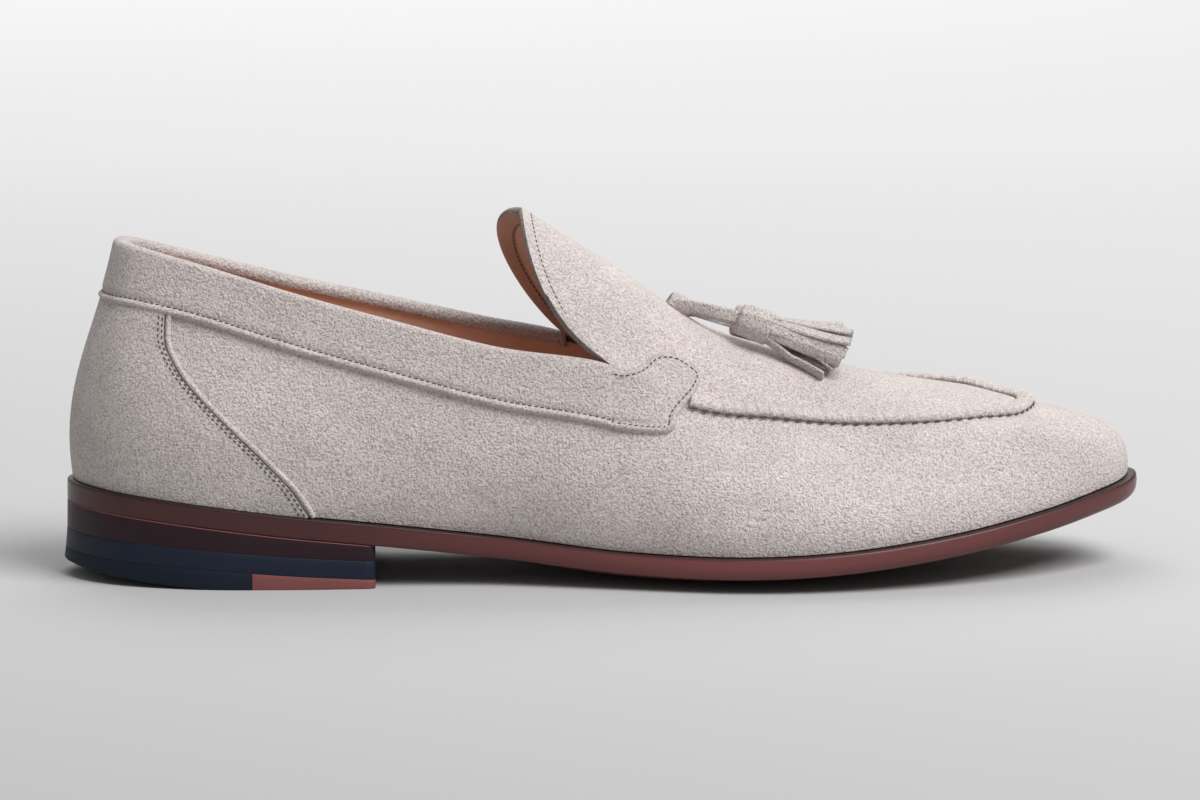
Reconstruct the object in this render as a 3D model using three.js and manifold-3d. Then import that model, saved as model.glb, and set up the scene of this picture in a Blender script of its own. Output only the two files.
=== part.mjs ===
// Tassel loafer, right shoe: a suede upper on a leather sole with a low stacked heel.
// Millimetres. +X runs from heel to toe, +Y to the inner (medial) side, +Z up.
// The origin is on the floor, under the middle of the heel's flat resting face.
import * as THREE from 'three';
import { mergeVertices } from 'three/addons/utils/BufferGeometryUtils.js';
import Module from 'manifold-3d';

const wasm = await Module();
wasm.setup();

// Driving dimensions of the last, measured on the upper's edge where it meets the sole
const lastLength = 300;
const ballWidth = 100;
const heelRise = 16.8;
const toeSpring = 15.3;
const backHeight = 94.2;
const vampHeight = 45;
const tongueHeight = 102;

// Upper
const wallThickness = 2;
const featherInset = 0.9;
const bandWidth = 16;
const bandThickness = 1.2;
const rollDepth = 5;
const counterThickness = 0.8;
const counterLift = 0.5;
const seamWidth = 3;
const seamHeight = 2.2;
const pipingRadius = 0.9;

// Sole and heel
const soleThickness = 6;
const soleEdge = 1.7;
const treadCrown = 3.7;
const crownFullness = 1.4;
const insoleThickness = 3;
const heelLength = 84;
const heelFlare = 2.3;
const tipFlare = 0.5;
const liftThickness = 4;
const liftWedge = 3.4;
const blockThickness = 4.7;
const blockWedge = 0.6;
const tipBevel = 4;
const flatHeelShare = 0.52;
const leatherInsertLength = 34;
const breastHollow = 3;

// Tassels
const tasselSpread = 9;
const tasselWrapRadius = 4.4;
const tasselWrapLength = 9.5;
const stripLength = 22;
const stripWidth = 3.1;
const stripThickness = 1.1;
const laceWidth = 4;
const laceThickness = 1.4;

// Pieces that touch keep this gap
const gap = 0.3;

// Stations from the back of the heel to the tip of the toe.
// along: share of lastLength. lateral, medial: share of ballWidth, from the middle of the heel.
// heel, toe: shares of heelRise and toeSpring that lift the sole there.
const footTable = [
  { along: 0.000, lateral: 0.002, medial: -0.002, heel: 1.00, toe: 0.00 },
  { along: 0.013, lateral: 0.122, medial: 0.118, heel: 0.98, toe: 0.00 },
  { along: 0.050, lateral: 0.233, medial: 0.228, heel: 0.92, toe: 0.00 },
  { along: 0.117, lateral: 0.304, medial: 0.300, heel: 0.79, toe: 0.00 },
  { along: 0.200, lateral: 0.321, medial: 0.310, heel: 0.61, toe: 0.00 },
  { along: 0.290, lateral: 0.316, medial: 0.290, heel: 0.44, toe: 0.00 },
  { along: 0.400, lateral: 0.323, medial: 0.272, heel: 0.22, toe: 0.00 },
  { along: 0.510, lateral: 0.405, medial: 0.335, heel: 0.03, toe: 0.00 },
  { along: 0.617, lateral: 0.488, medial: 0.455, heel: 0.00, toe: 0.00 },
  { along: 0.717, lateral: 0.482, medial: 0.512, heel: 0.00, toe: 0.09 },
  { along: 0.817, lateral: 0.404, medial: 0.468, heel: 0.00, toe: 0.31 },
  { along: 0.900, lateral: 0.285, medial: 0.370, heel: 0.00, toe: 0.58 },
  { along: 0.960, lateral: 0.155, medial: 0.270, heel: 0.00, toe: 0.82 },
  { along: 0.990, lateral: 0.050, medial: 0.175, heel: 0.00, toe: 0.94 },
  { along: 1.000, lateral: -0.067, medial: 0.067, heel: 0.00, toe: 1.00 },
];

// The line that ends the wall at each station: the topline, then the apron seam.
// back, vamp: shares of backHeight and vampHeight, added. The medial line lies further back by
// medialBack, a share of lastLength, and higher by medialLift, a share of vampHeight.
const rimTable = [
  { along: 0.040, lateral: 0.000, medial: 0.000, back: 1.000, vamp: 0.000, medialBack: 0.000, medialLift: 0.00 },
  { along: 0.047, lateral: 0.086, medial: 0.084, back: 0.996, vamp: 0.000, medialBack: 0.000, medialLift: 0.00 },
  { along: 0.072, lateral: 0.148, medial: 0.144, back: 0.979, vamp: 0.000, medialBack: 0.000, medialLift: -0.01 },
  { along: 0.127, lateral: 0.204, medial: 0.200, back: 0.934, vamp: 0.000, medialBack: 0.000, medialLift: -0.02 },
  { along: 0.207, lateral: 0.250, medial: 0.245, back: 0.860, vamp: 0.000, medialBack: 0.000, medialLift: -0.01 },
  { along: 0.293, lateral: 0.282, medial: 0.278, back: 0.787, vamp: 0.000, medialBack: 0.000, medialLift: 0.01 },
  { along: 0.393, lateral: 0.309, medial: 0.303, back: 0.707, vamp: 0.000, medialBack: 0.007, medialLift: 0.00 },
  { along: 0.497, lateral: 0.327, medial: 0.320, back: 0.320, vamp: 0.704, medialBack: 0.030, medialLift: -0.03 },
  { along: 0.573, lateral: 0.316, medial: 0.312, back: 0.000, vamp: 1.122, medialBack: 0.015, medialLift: 0.04 },
  { along: 0.650, lateral: 0.296, medial: 0.300, back: 0.000, vamp: 1.044, medialBack: 0.005, medialLift: 0.06 },
  { along: 0.717, lateral: 0.278, medial: 0.290, back: 0.000, vamp: 0.998, medialBack: 0.000, medialLift: 0.07 },
  { along: 0.783, lateral: 0.256, medial: 0.270, back: 0.000, vamp: 0.989, medialBack: 0.000, medialLift: 0.09 },
  { along: 0.842, lateral: 0.210, medial: 0.222, back: 0.000, vamp: 1.000, medialBack: 0.000, medialLift: 0.07 },
  { along: 0.880, lateral: 0.132, medial: 0.138, back: 0.000, vamp: 0.996, medialBack: 0.000, medialLift: 0.03 },
  { along: 0.898, lateral: 0.000, medial: 0.000, back: 0.000, vamp: 1.025, medialBack: 0.000, medialLift: 0.00 },
];

// How the wall leaves the sole and how it meets the rim, as two handles of its curve.
// swell, lean: shares of ballWidth outwards. rise, drop: shares of the wall's height.
const wallTable = [
  { swell: 0.040, rise: 0.39, lean: 0.055, drop: 0.40 },
  { swell: 0.040, rise: 0.39, lean: 0.055, drop: 0.40 },
  { swell: 0.045, rise: 0.37, lean: 0.055, drop: 0.40 },
  { swell: 0.050, rise: 0.36, lean: 0.050, drop: 0.40 },
  { swell: 0.055, rise: 0.36, lean: 0.050, drop: 0.40 },
  { swell: 0.060, rise: 0.35, lean: 0.050, drop: 0.40 },
  { swell: 0.070, rise: 0.33, lean: 0.050, drop: 0.40 },
  { swell: 0.060, rise: 0.33, lean: 0.045, drop: 0.38 },
  { swell: 0.045, rise: 0.40, lean: 0.060, drop: 0.30 },
  { swell: 0.040, rise: 0.42, lean: 0.075, drop: 0.25 },
  { swell: 0.035, rise: 0.44, lean: 0.090, drop: 0.24 },
  { swell: 0.030, rise: 0.48, lean: 0.120, drop: 0.18 },
  { swell: 0.022, rise: 0.60, lean: 0.145, drop: 0.16 },
  { swell: 0.015, rise: 0.73, lean: 0.147, drop: 0.19 },
  { swell: 0.015, rise: 0.73, lean: 0.155, drop: 0.19 },
];

// From the throat forward the apron and tongue arch from the rim to the crest line.
// along: share of lastLength. tongue, vamp: shares of tongueHeight and vampHeight, added.
// back, inward, up: where the arch's first handle stands between rim and crest. reach: its last.
// sweep: share of lastLength that the last handle is drawn back on the medial side.
const apronTable = [
  { along: 0.420, tongue: 1.0, vamp: 0.000, back: 1.00, inward: 0.12, up: 0.31, sweep: 0.047, reach: 0.47 },
  { along: 0.507, tongue: 0.6, vamp: 0.537, back: 0.54, inward: 0.22, up: 0.44, sweep: 0.020, reach: 0.50 },
  { along: 0.593, tongue: 0.3, vamp: 0.838, back: 0.40, inward: 0.30, up: 0.50, sweep: 0.006, reach: 0.50 },
  { along: 0.677, tongue: 0.1, vamp: 1.113, back: 0.33, inward: 0.30, up: 0.50, sweep: 0.000, reach: 0.48 },
  { along: 0.760, tongue: 0.0, vamp: 1.200, back: 0.30, inward: 0.33, up: 0.48, sweep: 0.000, reach: 0.45 },
  { along: 0.832, tongue: 0.0, vamp: 1.118, back: 0.30, inward: 0.35, up: 0.45, sweep: 0.000, reach: 0.45 },
  { along: 0.877, tongue: 0.0, vamp: 1.055, back: 0.30, inward: 0.35, up: 0.40, sweep: 0.000, reach: 0.50 },
  { along: 0.898, tongue: 0.0, vamp: 1.025, back: 0.00, inward: 0.00, up: 0.00, sweep: 0.000, reach: 0.00 },
];

const toeStation = footTable.length - 1;

// The station of the throat, where the topline ends and the apron seam begins
const throat = footTable.length - apronTable.length;
const loopLength = 2 * toeStation;
const ballTop = treadCrown + soleThickness + 2 * gap;

// Catmull-Rom value between four neighbours
function between(before, first, second, after, share) {
  const slopeIn = (second - before) / 2;
  const slopeOut = (after - first) / 2;
  const cubic = 2 * (first - second) + slopeIn + slopeOut;
  const square = 3 * (second - first) - 2 * slopeIn - slopeOut;
  return ((cubic * share + square) * share + slopeIn) * share + first;
}

// A place on the loop runs up the lateral side from 0 at the heel to toeStation at the toe,
// and back down the medial side to loopLength
function loopRow(table, index, read) {
  const wrapped = ((index % loopLength) + loopLength) % loopLength;
  const medial = wrapped > toeStation;
  return read(table[medial ? loopLength - wrapped : wrapped], medial);
}

// How many stations a place lies from the heel's back, on either side
function stationOf(place) {
  const wrapped = ((place % loopLength) + loopLength) % loopLength;
  return wrapped > toeStation ? loopLength - wrapped : wrapped;
}

function alongLoop(table, place, read) {
  const index = Math.floor(place);
  const near = [-1, 0, 1, 2].map((step) => loopRow(table, index + step, read));
  return between(...near, place - index);
}

const sideOf = (row, medial) => (medial ? row.medial : -row.lateral) * ballWidth;

function footPoint(place) {
  const lifted = (row) => ballTop + row.heel * heelRise + row.toe * toeSpring;
  return new THREE.Vector3(
    alongLoop(footTable, place, (row) => row.along * lastLength),
    alongLoop(footTable, place, sideOf),
    alongLoop(footTable, place, lifted),
  );
}

// The visible topline, and from the throat forward the apron seam
function rimLine(place) {
  const height = (row, medial) => row.back * backHeight
    + (row.vamp + (medial ? row.medialLift : 0)) * vampHeight;
  const along = (row, medial) => (row.along - (medial ? row.medialBack : 0)) * lastLength;
  return new THREE.Vector3(
    alongLoop(rimTable, place, along),
    alongLoop(rimTable, place, sideOf),
    alongLoop(rimTable, place, height),
  );
}

// Horizontal unit vector that points out of a loop
function outward(curve, place) {
  const step = 0.02;
  const run = curve(place + step).sub(curve(place - step));
  return new THREE.Vector3(run.y, -run.x, 0).normalize();
}

// The wall's own rim lies inside the visible topline by the band that covers it
function rimPoint(place) {
  const covered = THREE.MathUtils.clamp(throat + 1 - stationOf(place), 0, 1);
  const depth = (bandThickness + gap) * covered;
  return rimLine(place).addScaledVector(outward(rimLine, place), -depth);
}

function cubic(ends, share) {
  const rest = 1 - share;
  const weights = [rest ** 3, 3 * rest * rest * share, 3 * rest * share * share, share ** 3];
  const point = new THREE.Vector3();
  ends.forEach((end, index) => point.addScaledVector(end, weights[index]));
  return point;
}

// The upper's outer face from the sole (share 0) to the topline or the apron seam (share 1)
function wallPoint(place, share) {
  const out = outward(footPoint, place);
  const foot = footPoint(place).addScaledVector(out, -featherInset);
  const rim = rimPoint(place);
  const height = rim.z - foot.z;
  const handle = (name) => alongLoop(wallTable, place, (row) => row[name]);
  const low = foot.clone().addScaledVector(out, handle('swell') * ballWidth);
  low.z += handle('rise') * height;
  const high = rim.clone().addScaledVector(outward(rimPoint, place), handle('lean') * ballWidth);
  high.z -= handle('drop') * height;
  return cubic([foot, low, high, rim], share);
}

// A value of the apron's table at a place of the loop; before the throat it goes on straight
function alongApron(place, read) {
  const mirrored = stationOf(place);
  const index = Math.min(Math.floor(mirrored), toeStation - 1);
  const row = (station) => {
    if (station < throat) return 2 * row(throat) - row(throat + 1);
    if (station > toeStation) return row(2 * toeStation - station);
    return read(apronTable[station - throat]);
  };
  const near = [-1, 0, 1, 2].map((step) => row(index + step));
  return between(...near, mirrored - index);
}

// The crest line, over the middle of the tongue and apron
function crestPoint(place) {
  return new THREE.Vector3(
    alongApron(place, (row) => row.along * lastLength),
    0,
    alongApron(place, (row) => row.tongue * tongueHeight + row.vamp * vampHeight),
  );
}

function crestNormal(place) {
  const front = Math.min(stationOf(place) + 0.02, toeStation);
  const run = crestPoint(front).sub(crestPoint(front - 0.04));
  return new THREE.Vector3(-run.z, 0, run.x).normalize();
}

// The upper's outer face from the apron seam (share 0) to the crest line (share 1)
function apronPoint(place, share) {
  const rim = rimPoint(place);
  const crest = crestPoint(place);
  const handle = (name) => alongApron(place, (row) => row[name]);
  const low = new THREE.Vector3(
    THREE.MathUtils.lerp(rim.x, crest.x, handle('back')),
    THREE.MathUtils.lerp(rim.y, crest.y, handle('inward')),
    THREE.MathUtils.lerp(rim.z, crest.z, handle('up')),
  );
  const high = new THREE.Vector3(crest.x, rim.y * handle('reach'), crest.z);
  if (rim.y > 0) {
    high.x -= handle('sweep') * lastLength;
  }
  return cubic([rim, low, high, crest], share);
}

// Share of the wall's curve that lies a given drop below the rim
function shareBelowRim(place, drop) {
  const target = rimPoint(place).z - drop;
  let low = 0;
  let high = 1;
  for (let pass = 0; pass < 24; pass += 1) {
    const middle = (low + high) / 2;
    if (wallPoint(place, middle).z < target) low = middle;
    else high = middle;
  }
  return (low + high) / 2;
}

// Outward unit normal of a patch at a place and share
function normalOf(patch, place, share) {
  const step = 0.01;
  const run = patch(place + step, share).sub(patch(place - step, share));
  const lower = Math.max(share - step, 0);
  const rise = patch(place, Math.min(share + step, 1)).sub(patch(place, lower));
  return run.cross(rise).normalize();
}

// Closed mesh helpers

// Joins equal points, drops flat faces and returns an indexed geometry
function closedGeometry(positions) {
  const geometry = new THREE.BufferGeometry();
  geometry.setAttribute('position', new THREE.Float32BufferAttribute(positions, 3));
  const merged = mergeVertices(geometry, 2e-3);
  const index = merged.index.array;
  const kept = [];
  for (let face = 0; face < index.length; face += 3) {
    const [a, b, c] = [index[face], index[face + 1], index[face + 2]];
    if (a !== b && b !== c && c !== a) kept.push(a, b, c);
  }
  merged.setIndex(kept);
  return merged;
}

function pushTriangle(positions, a, b, c) {
  positions.push(a.x, a.y, a.z, b.x, b.y, b.z, c.x, c.y, c.z);
}

function pushQuad(positions, a, b, c, d) {
  pushTriangle(positions, a, b, c);
  pushTriangle(positions, a, c, d);
}

// A skin given as a grid of outer points and a grid of inner points, closed round its edges.
// wrapped closes the grid on itself along its first direction.
function thickSkin(outer, inner, wrapped = false) {
  const positions = [];
  const columns = outer.length;
  const rows = outer[0].length;
  const last = wrapped ? columns : columns - 1;
  for (let column = 0; column < last; column += 1) {
    const next = (column + 1) % columns;
    for (let row = 0; row + 1 < rows; row += 1) {
      const up = row + 1;
      pushQuad(positions, outer[column][row], outer[next][row], outer[next][up], outer[column][up]);
      pushQuad(positions, inner[column][row], inner[column][up], inner[next][up], inner[next][row]);
    }
    const top = rows - 1;
    pushQuad(positions, outer[column][0], inner[column][0], inner[next][0], outer[next][0]);
    pushQuad(positions, outer[column][top], outer[next][top], inner[next][top], inner[column][top]);
  }
  if (!wrapped) {
    const end = columns - 1;
    for (let row = 0; row + 1 < rows; row += 1) {
      const up = row + 1;
      pushQuad(positions, outer[0][row], outer[0][up], inner[0][up], inner[0][row]);
      pushQuad(positions, outer[end][row], inner[end][row], inner[end][up], outer[end][up]);
    }
  }
  return closedGeometry(positions);
}

// Closes a section with triangles round its middle
function fanCap(section) {
  const centre = section.reduce((sum, point) => sum.add(point), new THREE.Vector3());
  centre.divideScalar(section.length);
  return section.map((point, index) => [centre, point, section[(index + 1) % section.length]]);
}

// Closes a folded section, such as a U, with a strip between its two faces
function stripCap(section) {
  const last = section.length - 1;
  const steps = Array.from({ length: section.length / 2 - 1 }, (_, step) => step);
  return steps.flatMap((step) => [
    [section[step], section[step + 1], section[last - step]],
    [section[step + 1], section[last - step - 1], section[last - step]],
  ]);
}

// A solid through closed sections of equal point count, capped at both ends
function loft(sections, capOf = fanCap) {
  const positions = [];
  const count = sections[0].length;
  for (let step = 0; step + 1 < sections.length; step += 1) {
    for (let point = 0; point < count; point += 1) {
      const next = (point + 1) % count;
      const here = sections[step];
      const there = sections[step + 1];
      pushQuad(positions, here[point], there[point], there[next], here[next]);
    }
  }
  const ends = [sections[0], sections[sections.length - 1].slice().reverse()];
  ends.flatMap(capOf).forEach((corners) => pushTriangle(positions, ...corners));
  return closedGeometry(positions);
}

function toSolid(geometry) {
  const bare = geometry.clone();
  bare.deleteAttribute('normal');
  bare.deleteAttribute('uv');
  const merged = mergeVertices(bare, 1e-3);
  return new wasm.Manifold(new wasm.Mesh({
    numProp: 3,
    vertProperties: new Float32Array(merged.attributes.position.array),
    triVerts: new Uint32Array(merged.index.array),
  }));
}

function fromSolid(solid) {
  const mesh = solid.getMesh();
  const geometry = new THREE.BufferGeometry();
  geometry.setAttribute('position', new THREE.BufferAttribute(mesh.vertProperties, 3));
  geometry.setIndex(new THREE.BufferAttribute(mesh.triVerts, 1));
  return geometry;
}

// Places along the loop, a few between each two stations
function placesBetween(start, end, perStation) {
  const count = Math.round((end - start) * perStation);
  return Array.from({ length: count + 1 }, (_, step) => start + ((end - start) * step) / count);
}

const perStation = 4;

// Upper
const wallShares = [0, 0.12, 0.26, 0.42, 0.6, 0.8, 1];
const apronShares = [0.17, 0.36, 0.57, 0.8, 1];

// The band's roll caps the wall, so the wall stops short of the topline behind the throat
const rollRoom = bandThickness + gap;
function topShare(place) {
  const behind = THREE.MathUtils.clamp((throat - stationOf(place)) * perStation, 0, 1);
  return shareBelowRim(place, rollRoom * behind);
}

// One column of the upper's face, from the sole upwards
function upperColumn(place, depth) {
  const top = stationOf(place) < throat ? topShare(place) : 1;
  const column = wallShares.map((share) => {
    const point = wallPoint(place, share * top);
    return point.addScaledVector(normalOf(wallPoint, place, share * top), -depth);
  });
  return column;
}

function apronColumn(place, depth) {
  return apronShares.map((share) => {
    const point = apronPoint(place, share);
    const onCrest = share === 1 || place === toeStation;
    const normal = onCrest ? crestNormal(place) : normalOf(apronPoint, place, share);
    return point.addScaledVector(normal, -depth);
  });
}

function upperGeometry() {
  const positions = [];
  const places = placesBetween(0, loopLength, perStation);
  const outer = places.map((place) => upperColumn(place, 0));
  const inner = places.map((place) => upperColumn(place, wallThickness));
  const rowCount = wallShares.length;
  const top = rowCount - 1;
  const skin = (a, b, c, d, face) => {
    if (face === 'outer') pushQuad(positions, a, b, c, d);
    else pushQuad(positions, a, d, c, b);
  };
  const isFore = (place) => place >= throat && place <= loopLength - throat;
  const apronOuter = new Map();
  const apronInner = new Map();
  places.forEach((place, index) => {
    if (!isFore(place)) return;
    apronOuter.set(index, [outer[index][top], ...apronColumn(place, 0)]);
    apronInner.set(index, [inner[index][top], ...apronColumn(place, wallThickness)]);
  });
  for (let index = 0; index + 1 < places.length; index += 1) {
    const next = index + 1;
    for (let row = 0; row < top; row += 1) {
      const up = row + 1;
      skin(outer[index][row], outer[next][row], outer[next][up], outer[index][up], 'outer');
      skin(inner[index][row], inner[next][row], inner[next][up], inner[index][up], 'inner');
    }
    pushQuad(positions, outer[index][0], inner[index][0], inner[next][0], outer[next][0]);
    const fore = isFore(places[index]) && isFore(places[next]);
    if (!fore) {
      pushQuad(positions, outer[index][top], outer[next][top], inner[next][top], inner[index][top]);
      continue;
    }
    const rows = apronShares.length;
    for (let row = 0; row < rows; row += 1) {
      const up = row + 1;
      const near = [apronOuter.get(index), apronOuter.get(next)];
      const under = [apronInner.get(index), apronInner.get(next)];
      skin(near[0][row], near[1][row], near[1][up], near[0][up], 'outer');
      skin(under[0][row], under[1][row], under[1][up], under[0][up], 'inner');
    }
  }
  const ends = [throat * perStation, (loopLength - throat) * perStation];
  ends.forEach((index, which) => {
    const face = apronOuter.get(index);
    const back = apronInner.get(index);
    for (let row = 0; row < apronShares.length; row += 1) {
      const up = row + 1;
      if (which === 0) pushQuad(positions, face[row], face[up], back[up], back[row]);
      else pushQuad(positions, face[row], back[row], back[up], face[up]);
    }
  });
  return closedGeometry(positions);
}

// Sole

// Height of the outsole's upper face at a distance from the heel's back
const seatSamples = placesBetween(0, toeStation, 8).map((place) => footPoint(place));
function seatHeight(x) {
  const inside = THREE.MathUtils.clamp(x, 0, lastLength);
  const after = seatSamples.findIndex((sample) => sample.x >= inside);
  const second = seatSamples[Math.max(after, 1)];
  const first = seatSamples[Math.max(after, 1) - 1];
  const share = (inside - first.x) / Math.max(second.x - first.x, 1e-6);
  return THREE.MathUtils.lerp(first.z, second.z, share) - gap;
}

// The rounded profile of the outsole's edge: out is a share of soleEdge, down of its thickness
const edgeProfile = [
  { out: 0.10, down: 0.00 },
  { out: 0.80, down: 0.14 },
  { out: 1.00, down: 0.45 },
  { out: 0.75, down: 0.85 },
  { out: 0.10, down: 1.00 },
];
const treadShares = [0.15, 0.34, 0.66, 0.85];

// How far the tread bulges below the edge: none at the heel seat, full at the ball
function crownAt(x) {
  const fromHeel = THREE.MathUtils.smoothstep(x, heelLength, 0.55 * lastLength);
  const toToe = THREE.MathUtils.smoothstep(x, 0.8 * lastLength, lastLength);
  return treadCrown * fromHeel * (1 - 0.6 * toToe);
}

function outsoleSection(place) {
  const opposite = loopLength - place;
  const rim = (at) => edgeProfile.map((row) => {
    const foot = footPoint(at);
    const point = foot.clone().addScaledVector(outward(footPoint, at), row.out * soleEdge);
    point.z = seatHeight(foot.x) - row.down * soleThickness;
    return point;
  });
  const lateral = rim(place);
  const medial = rim(opposite === loopLength ? 0 : opposite);
  const low = edgeProfile.length - 1;
  const tread = treadShares.map((share) => {
    const point = lateral[low].clone().lerp(medial[low], share);
    const bulge = crownAt(point.x) * (1 - (2 * share - 1) ** 2);
    point.z = Math.max(point.z - bulge * crownFullness, 0);
    return point;
  });
  const middle = lateral[0].clone().lerp(medial[0], 0.5);
  return [...lateral, ...tread, ...medial.reverse(), middle];
}

function outsoleGeometry() {
  return loft(placesBetween(0, toeStation, perStation).map(outsoleSection).map((s) => s.reverse()));
}

// A flat layer of the heel between two height functions, out to a margin round the outline
function heelLayer(topHeight, bottomHeight, margin, fromX = -Infinity, toX = heelLength) {
  const shares = [0, 0.25, 0.5, 0.75, 1];
  const hollow = (share) => breastHollow * (1 - (2 * share - 1) ** 2);
  const edge = (place, flare) => {
    const foot = footPoint(place);
    return foot.addScaledVector(outward(footPoint, place), flare);
  };
  const places = placesBetween(0, toeStation, perStation);
  const clipped = places.filter((place) => edge(place, margin).x < toX - 1.5);
  const planRow = (place) => shares.map((share) => {
    const lateral = edge(place, margin);
    const medial = edge(place === 0 ? 0 : loopLength - place, margin);
    return lateral.lerp(medial, share);
  });
  const rows = clipped.map(planRow).filter((row) => row[0].x >= fromX + 1.5);
  const cutRow = (x, curved) => {
    const before = places.findIndex((place) => edge(place, margin).x >= x);
    const [a, b] = [places[before - 1], places[before]];
    const span = edge(b, margin).x - edge(a, margin).x;
    const place = a + ((b - a) * (x - edge(a, margin).x)) / span;
    return planRow(place).map((point, index) => {
      point.x = x - (curved ? hollow(shares[index]) : 0);
      return point;
    });
  };
  if (fromX > 0) rows.unshift(cutRow(fromX, false));
  rows.push(cutRow(toX, toX === heelLength));
  const outer = rows.map((row) => row.map((p) => new THREE.Vector3(p.x, p.y, topHeight(p.x))));
  const inner = rows.map((row) => row.map((p) => new THREE.Vector3(p.x, p.y, bottomHeight(p.x))));
  return thickSkin(outer, inner);
}

// Heights of the heel's layers, from the outsole down; the lift is a wedge
const heelShare = (x) => THREE.MathUtils.clamp(1 - x / heelLength, -0.05, 1.05);
const liftTop = (x) => seatHeight(x) - soleThickness - gap;
const liftBottom = (x) => liftTop(x) - liftThickness - liftWedge * heelShare(x);
const blockTop = (x) => liftBottom(x) - gap;
const blockBottom = (x) => blockTop(x) - blockThickness - blockWedge * heelShare(x);
const tipTop = (x) => blockBottom(x) - gap;
const flatFrom = heelLength * flatHeelShare;
const tipBottom = (x) => tipBevel * Math.max(0, (flatFrom - x) / flatFrom) ** 1.5;

// Insole

function insoleGeometry() {
  const margin = -(wallThickness + featherInset + 2 * gap);
  const shares = [0, 0.25, 0.5, 0.75, 1];
  const rows = placesBetween(0, toeStation, 2).map((place) => shares.map((share) => {
    const lateral = footPoint(place).addScaledVector(outward(footPoint, place), margin);
    const opposite = loopLength - place;
    const medial = footPoint(opposite).addScaledVector(outward(footPoint, opposite), margin);
    return lateral.lerp(medial, share);
  }));
  const level = (lift) => (row) => row.map((p) => new THREE.Vector3(p.x, p.y, seatHeight(p.x) + lift));
  return thickSkin(rows.map(level(gap + insoleThickness)), rows.map(level(gap)));
}

// Apron seam, a raised roll that rides on the seam line.
// side: share of seamWidth across it, from the wall to the apron. height: share of seamHeight.
const tabStation = throat + 1.12;
const seamProfile = [
  { side: -0.50, height: 0.45 },
  { side: -0.20, height: 1.00 },
  { side: 0.20, height: 0.95 },
  { side: 0.50, height: 0.45 },
];
const toeApronSlope = 0.45;

function ridgeSection(place) {
  const rim = rimPoint(place);
  const half = seamWidth / 2;
  const fromToe = Math.abs(place - toeStation);
  const wallStep = half / rim.distanceTo(wallPoint(place, 0.95)) * 0.05;
  const wallFoot = wallPoint(place, 1 - wallStep);
  const inward = outward(rimPoint, place).negate();
  const apronFoot = rim.clone().addScaledVector(inward, half);
  apronFoot.z += toeApronSlope * half;
  if (fromToe > 0.6) {
    const apronStep = half / rim.distanceTo(apronPoint(place, 0.1)) * 0.1;
    apronFoot.copy(apronPoint(place, Math.min(apronStep, 0.4)));
  }
  const run = rimPoint(place + 0.02).sub(rimPoint(place - 0.02)).normalize();
  const across = apronFoot.clone().sub(wallFoot).normalize();
  const normal = run.clone().cross(across).normalize();
  const lifted = (point) => point.clone().addScaledVector(normal, gap);
  const over = seamProfile.map(({ side, height }) => lifted(rim)
    .addScaledVector(across, side * seamWidth)
    .addScaledVector(normal, height * seamHeight));
  return [lifted(wallFoot), ...over, lifted(apronFoot), lifted(rim).addScaledVector(normal, 0.1)];
}

function ridgeGeometry() {
  const places = placesBetween(tabStation, loopLength - tabStation, perStation);
  return loft(places.map(ridgeSection));
}

// Collar band: a folded strip round the topline that also rolls over the wall's edge

// A point above the wall's outer face
function overWall(place, share, height) {
  return wallPoint(place, share).addScaledVector(normalOf(wallPoint, place, share), height);
}

function overApron(place, share, height) {
  return apronPoint(place, share).addScaledVector(normalOf(apronPoint, place, share), height);
}

// Unit vector in the wall, upwards across the topline
function upAcross(place, share) {
  return wallPoint(place, share).sub(wallPoint(place, share - 0.03)).normalize();
}

const bandRows = [0, 0.5, 1];

function bandSection(place) {
  const low = shareBelowRim(place, bandWidth);
  const top = topShare(place);
  const outside = gap + bandThickness;
  const inside = -(wallThickness + 1.5 * gap);
  const shareAt = (row) => THREE.MathUtils.lerp(low, top, row);
  const outer = bandRows.map((row) => overWall(place, shareAt(row), outside));
  const under = bandRows.map((row) => overWall(place, shareAt(row), gap));
  const rise = upAcross(place, top);
  const edge = (height, lift) => overWall(place, top, height).addScaledVector(rise, lift);
  const flange = shareBelowRim(place, rollDepth + rollRoom);
  const roll = [
    edge(-wallThickness * 0.1, gap + bandThickness),
    edge(-wallThickness * 0.9, gap + bandThickness),
    edge(inside - bandThickness, 0),
    overWall(place, flange, inside - bandThickness),
    overWall(place, flange, inside),
    edge(inside, gap * 0.7),
    edge(gap, gap * 0.7),
  ];
  return [...outer, ...roll, ...under.reverse().slice(1)];
}

function bandRing() {
  const end = throat - 2 / perStation;
  return loft(placesBetween(-end, end, perStation).map(bandSection), stripCap);
}

// The tab at each end of the band lies on the vamp beside the throat.
// forward, up: shares of bandWidth from the throat's corner, round the tab's outline.
const tabOutline = [
  { forward: -1.12, up: 0.35 },
  { forward: -1.12, up: -0.81 },
  { forward: -0.47, up: -0.93 },
  { forward: 0.00, up: -1.03 },
  { forward: 0.33, up: -1.09 },
  { forward: 0.83, up: -1.14 },
  { forward: 1.06, up: -1.08 },
  { forward: 1.22, up: -0.88 },
  { forward: 1.47, up: -0.51 },
  { forward: 1.58, up: -0.19 },
  { forward: 1.50, up: -0.05 },
  { forward: 1.35, up: 0.00 },
  { forward: 0.96, up: 0.10 },
  { forward: 0.76, up: 0.07 },
  { forward: 0.56, up: -0.07 },
  { forward: 0.25, up: -0.16 },
  { forward: 0.00, up: -0.06 },
  { forward: -0.25, up: 0.12 },
];

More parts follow.
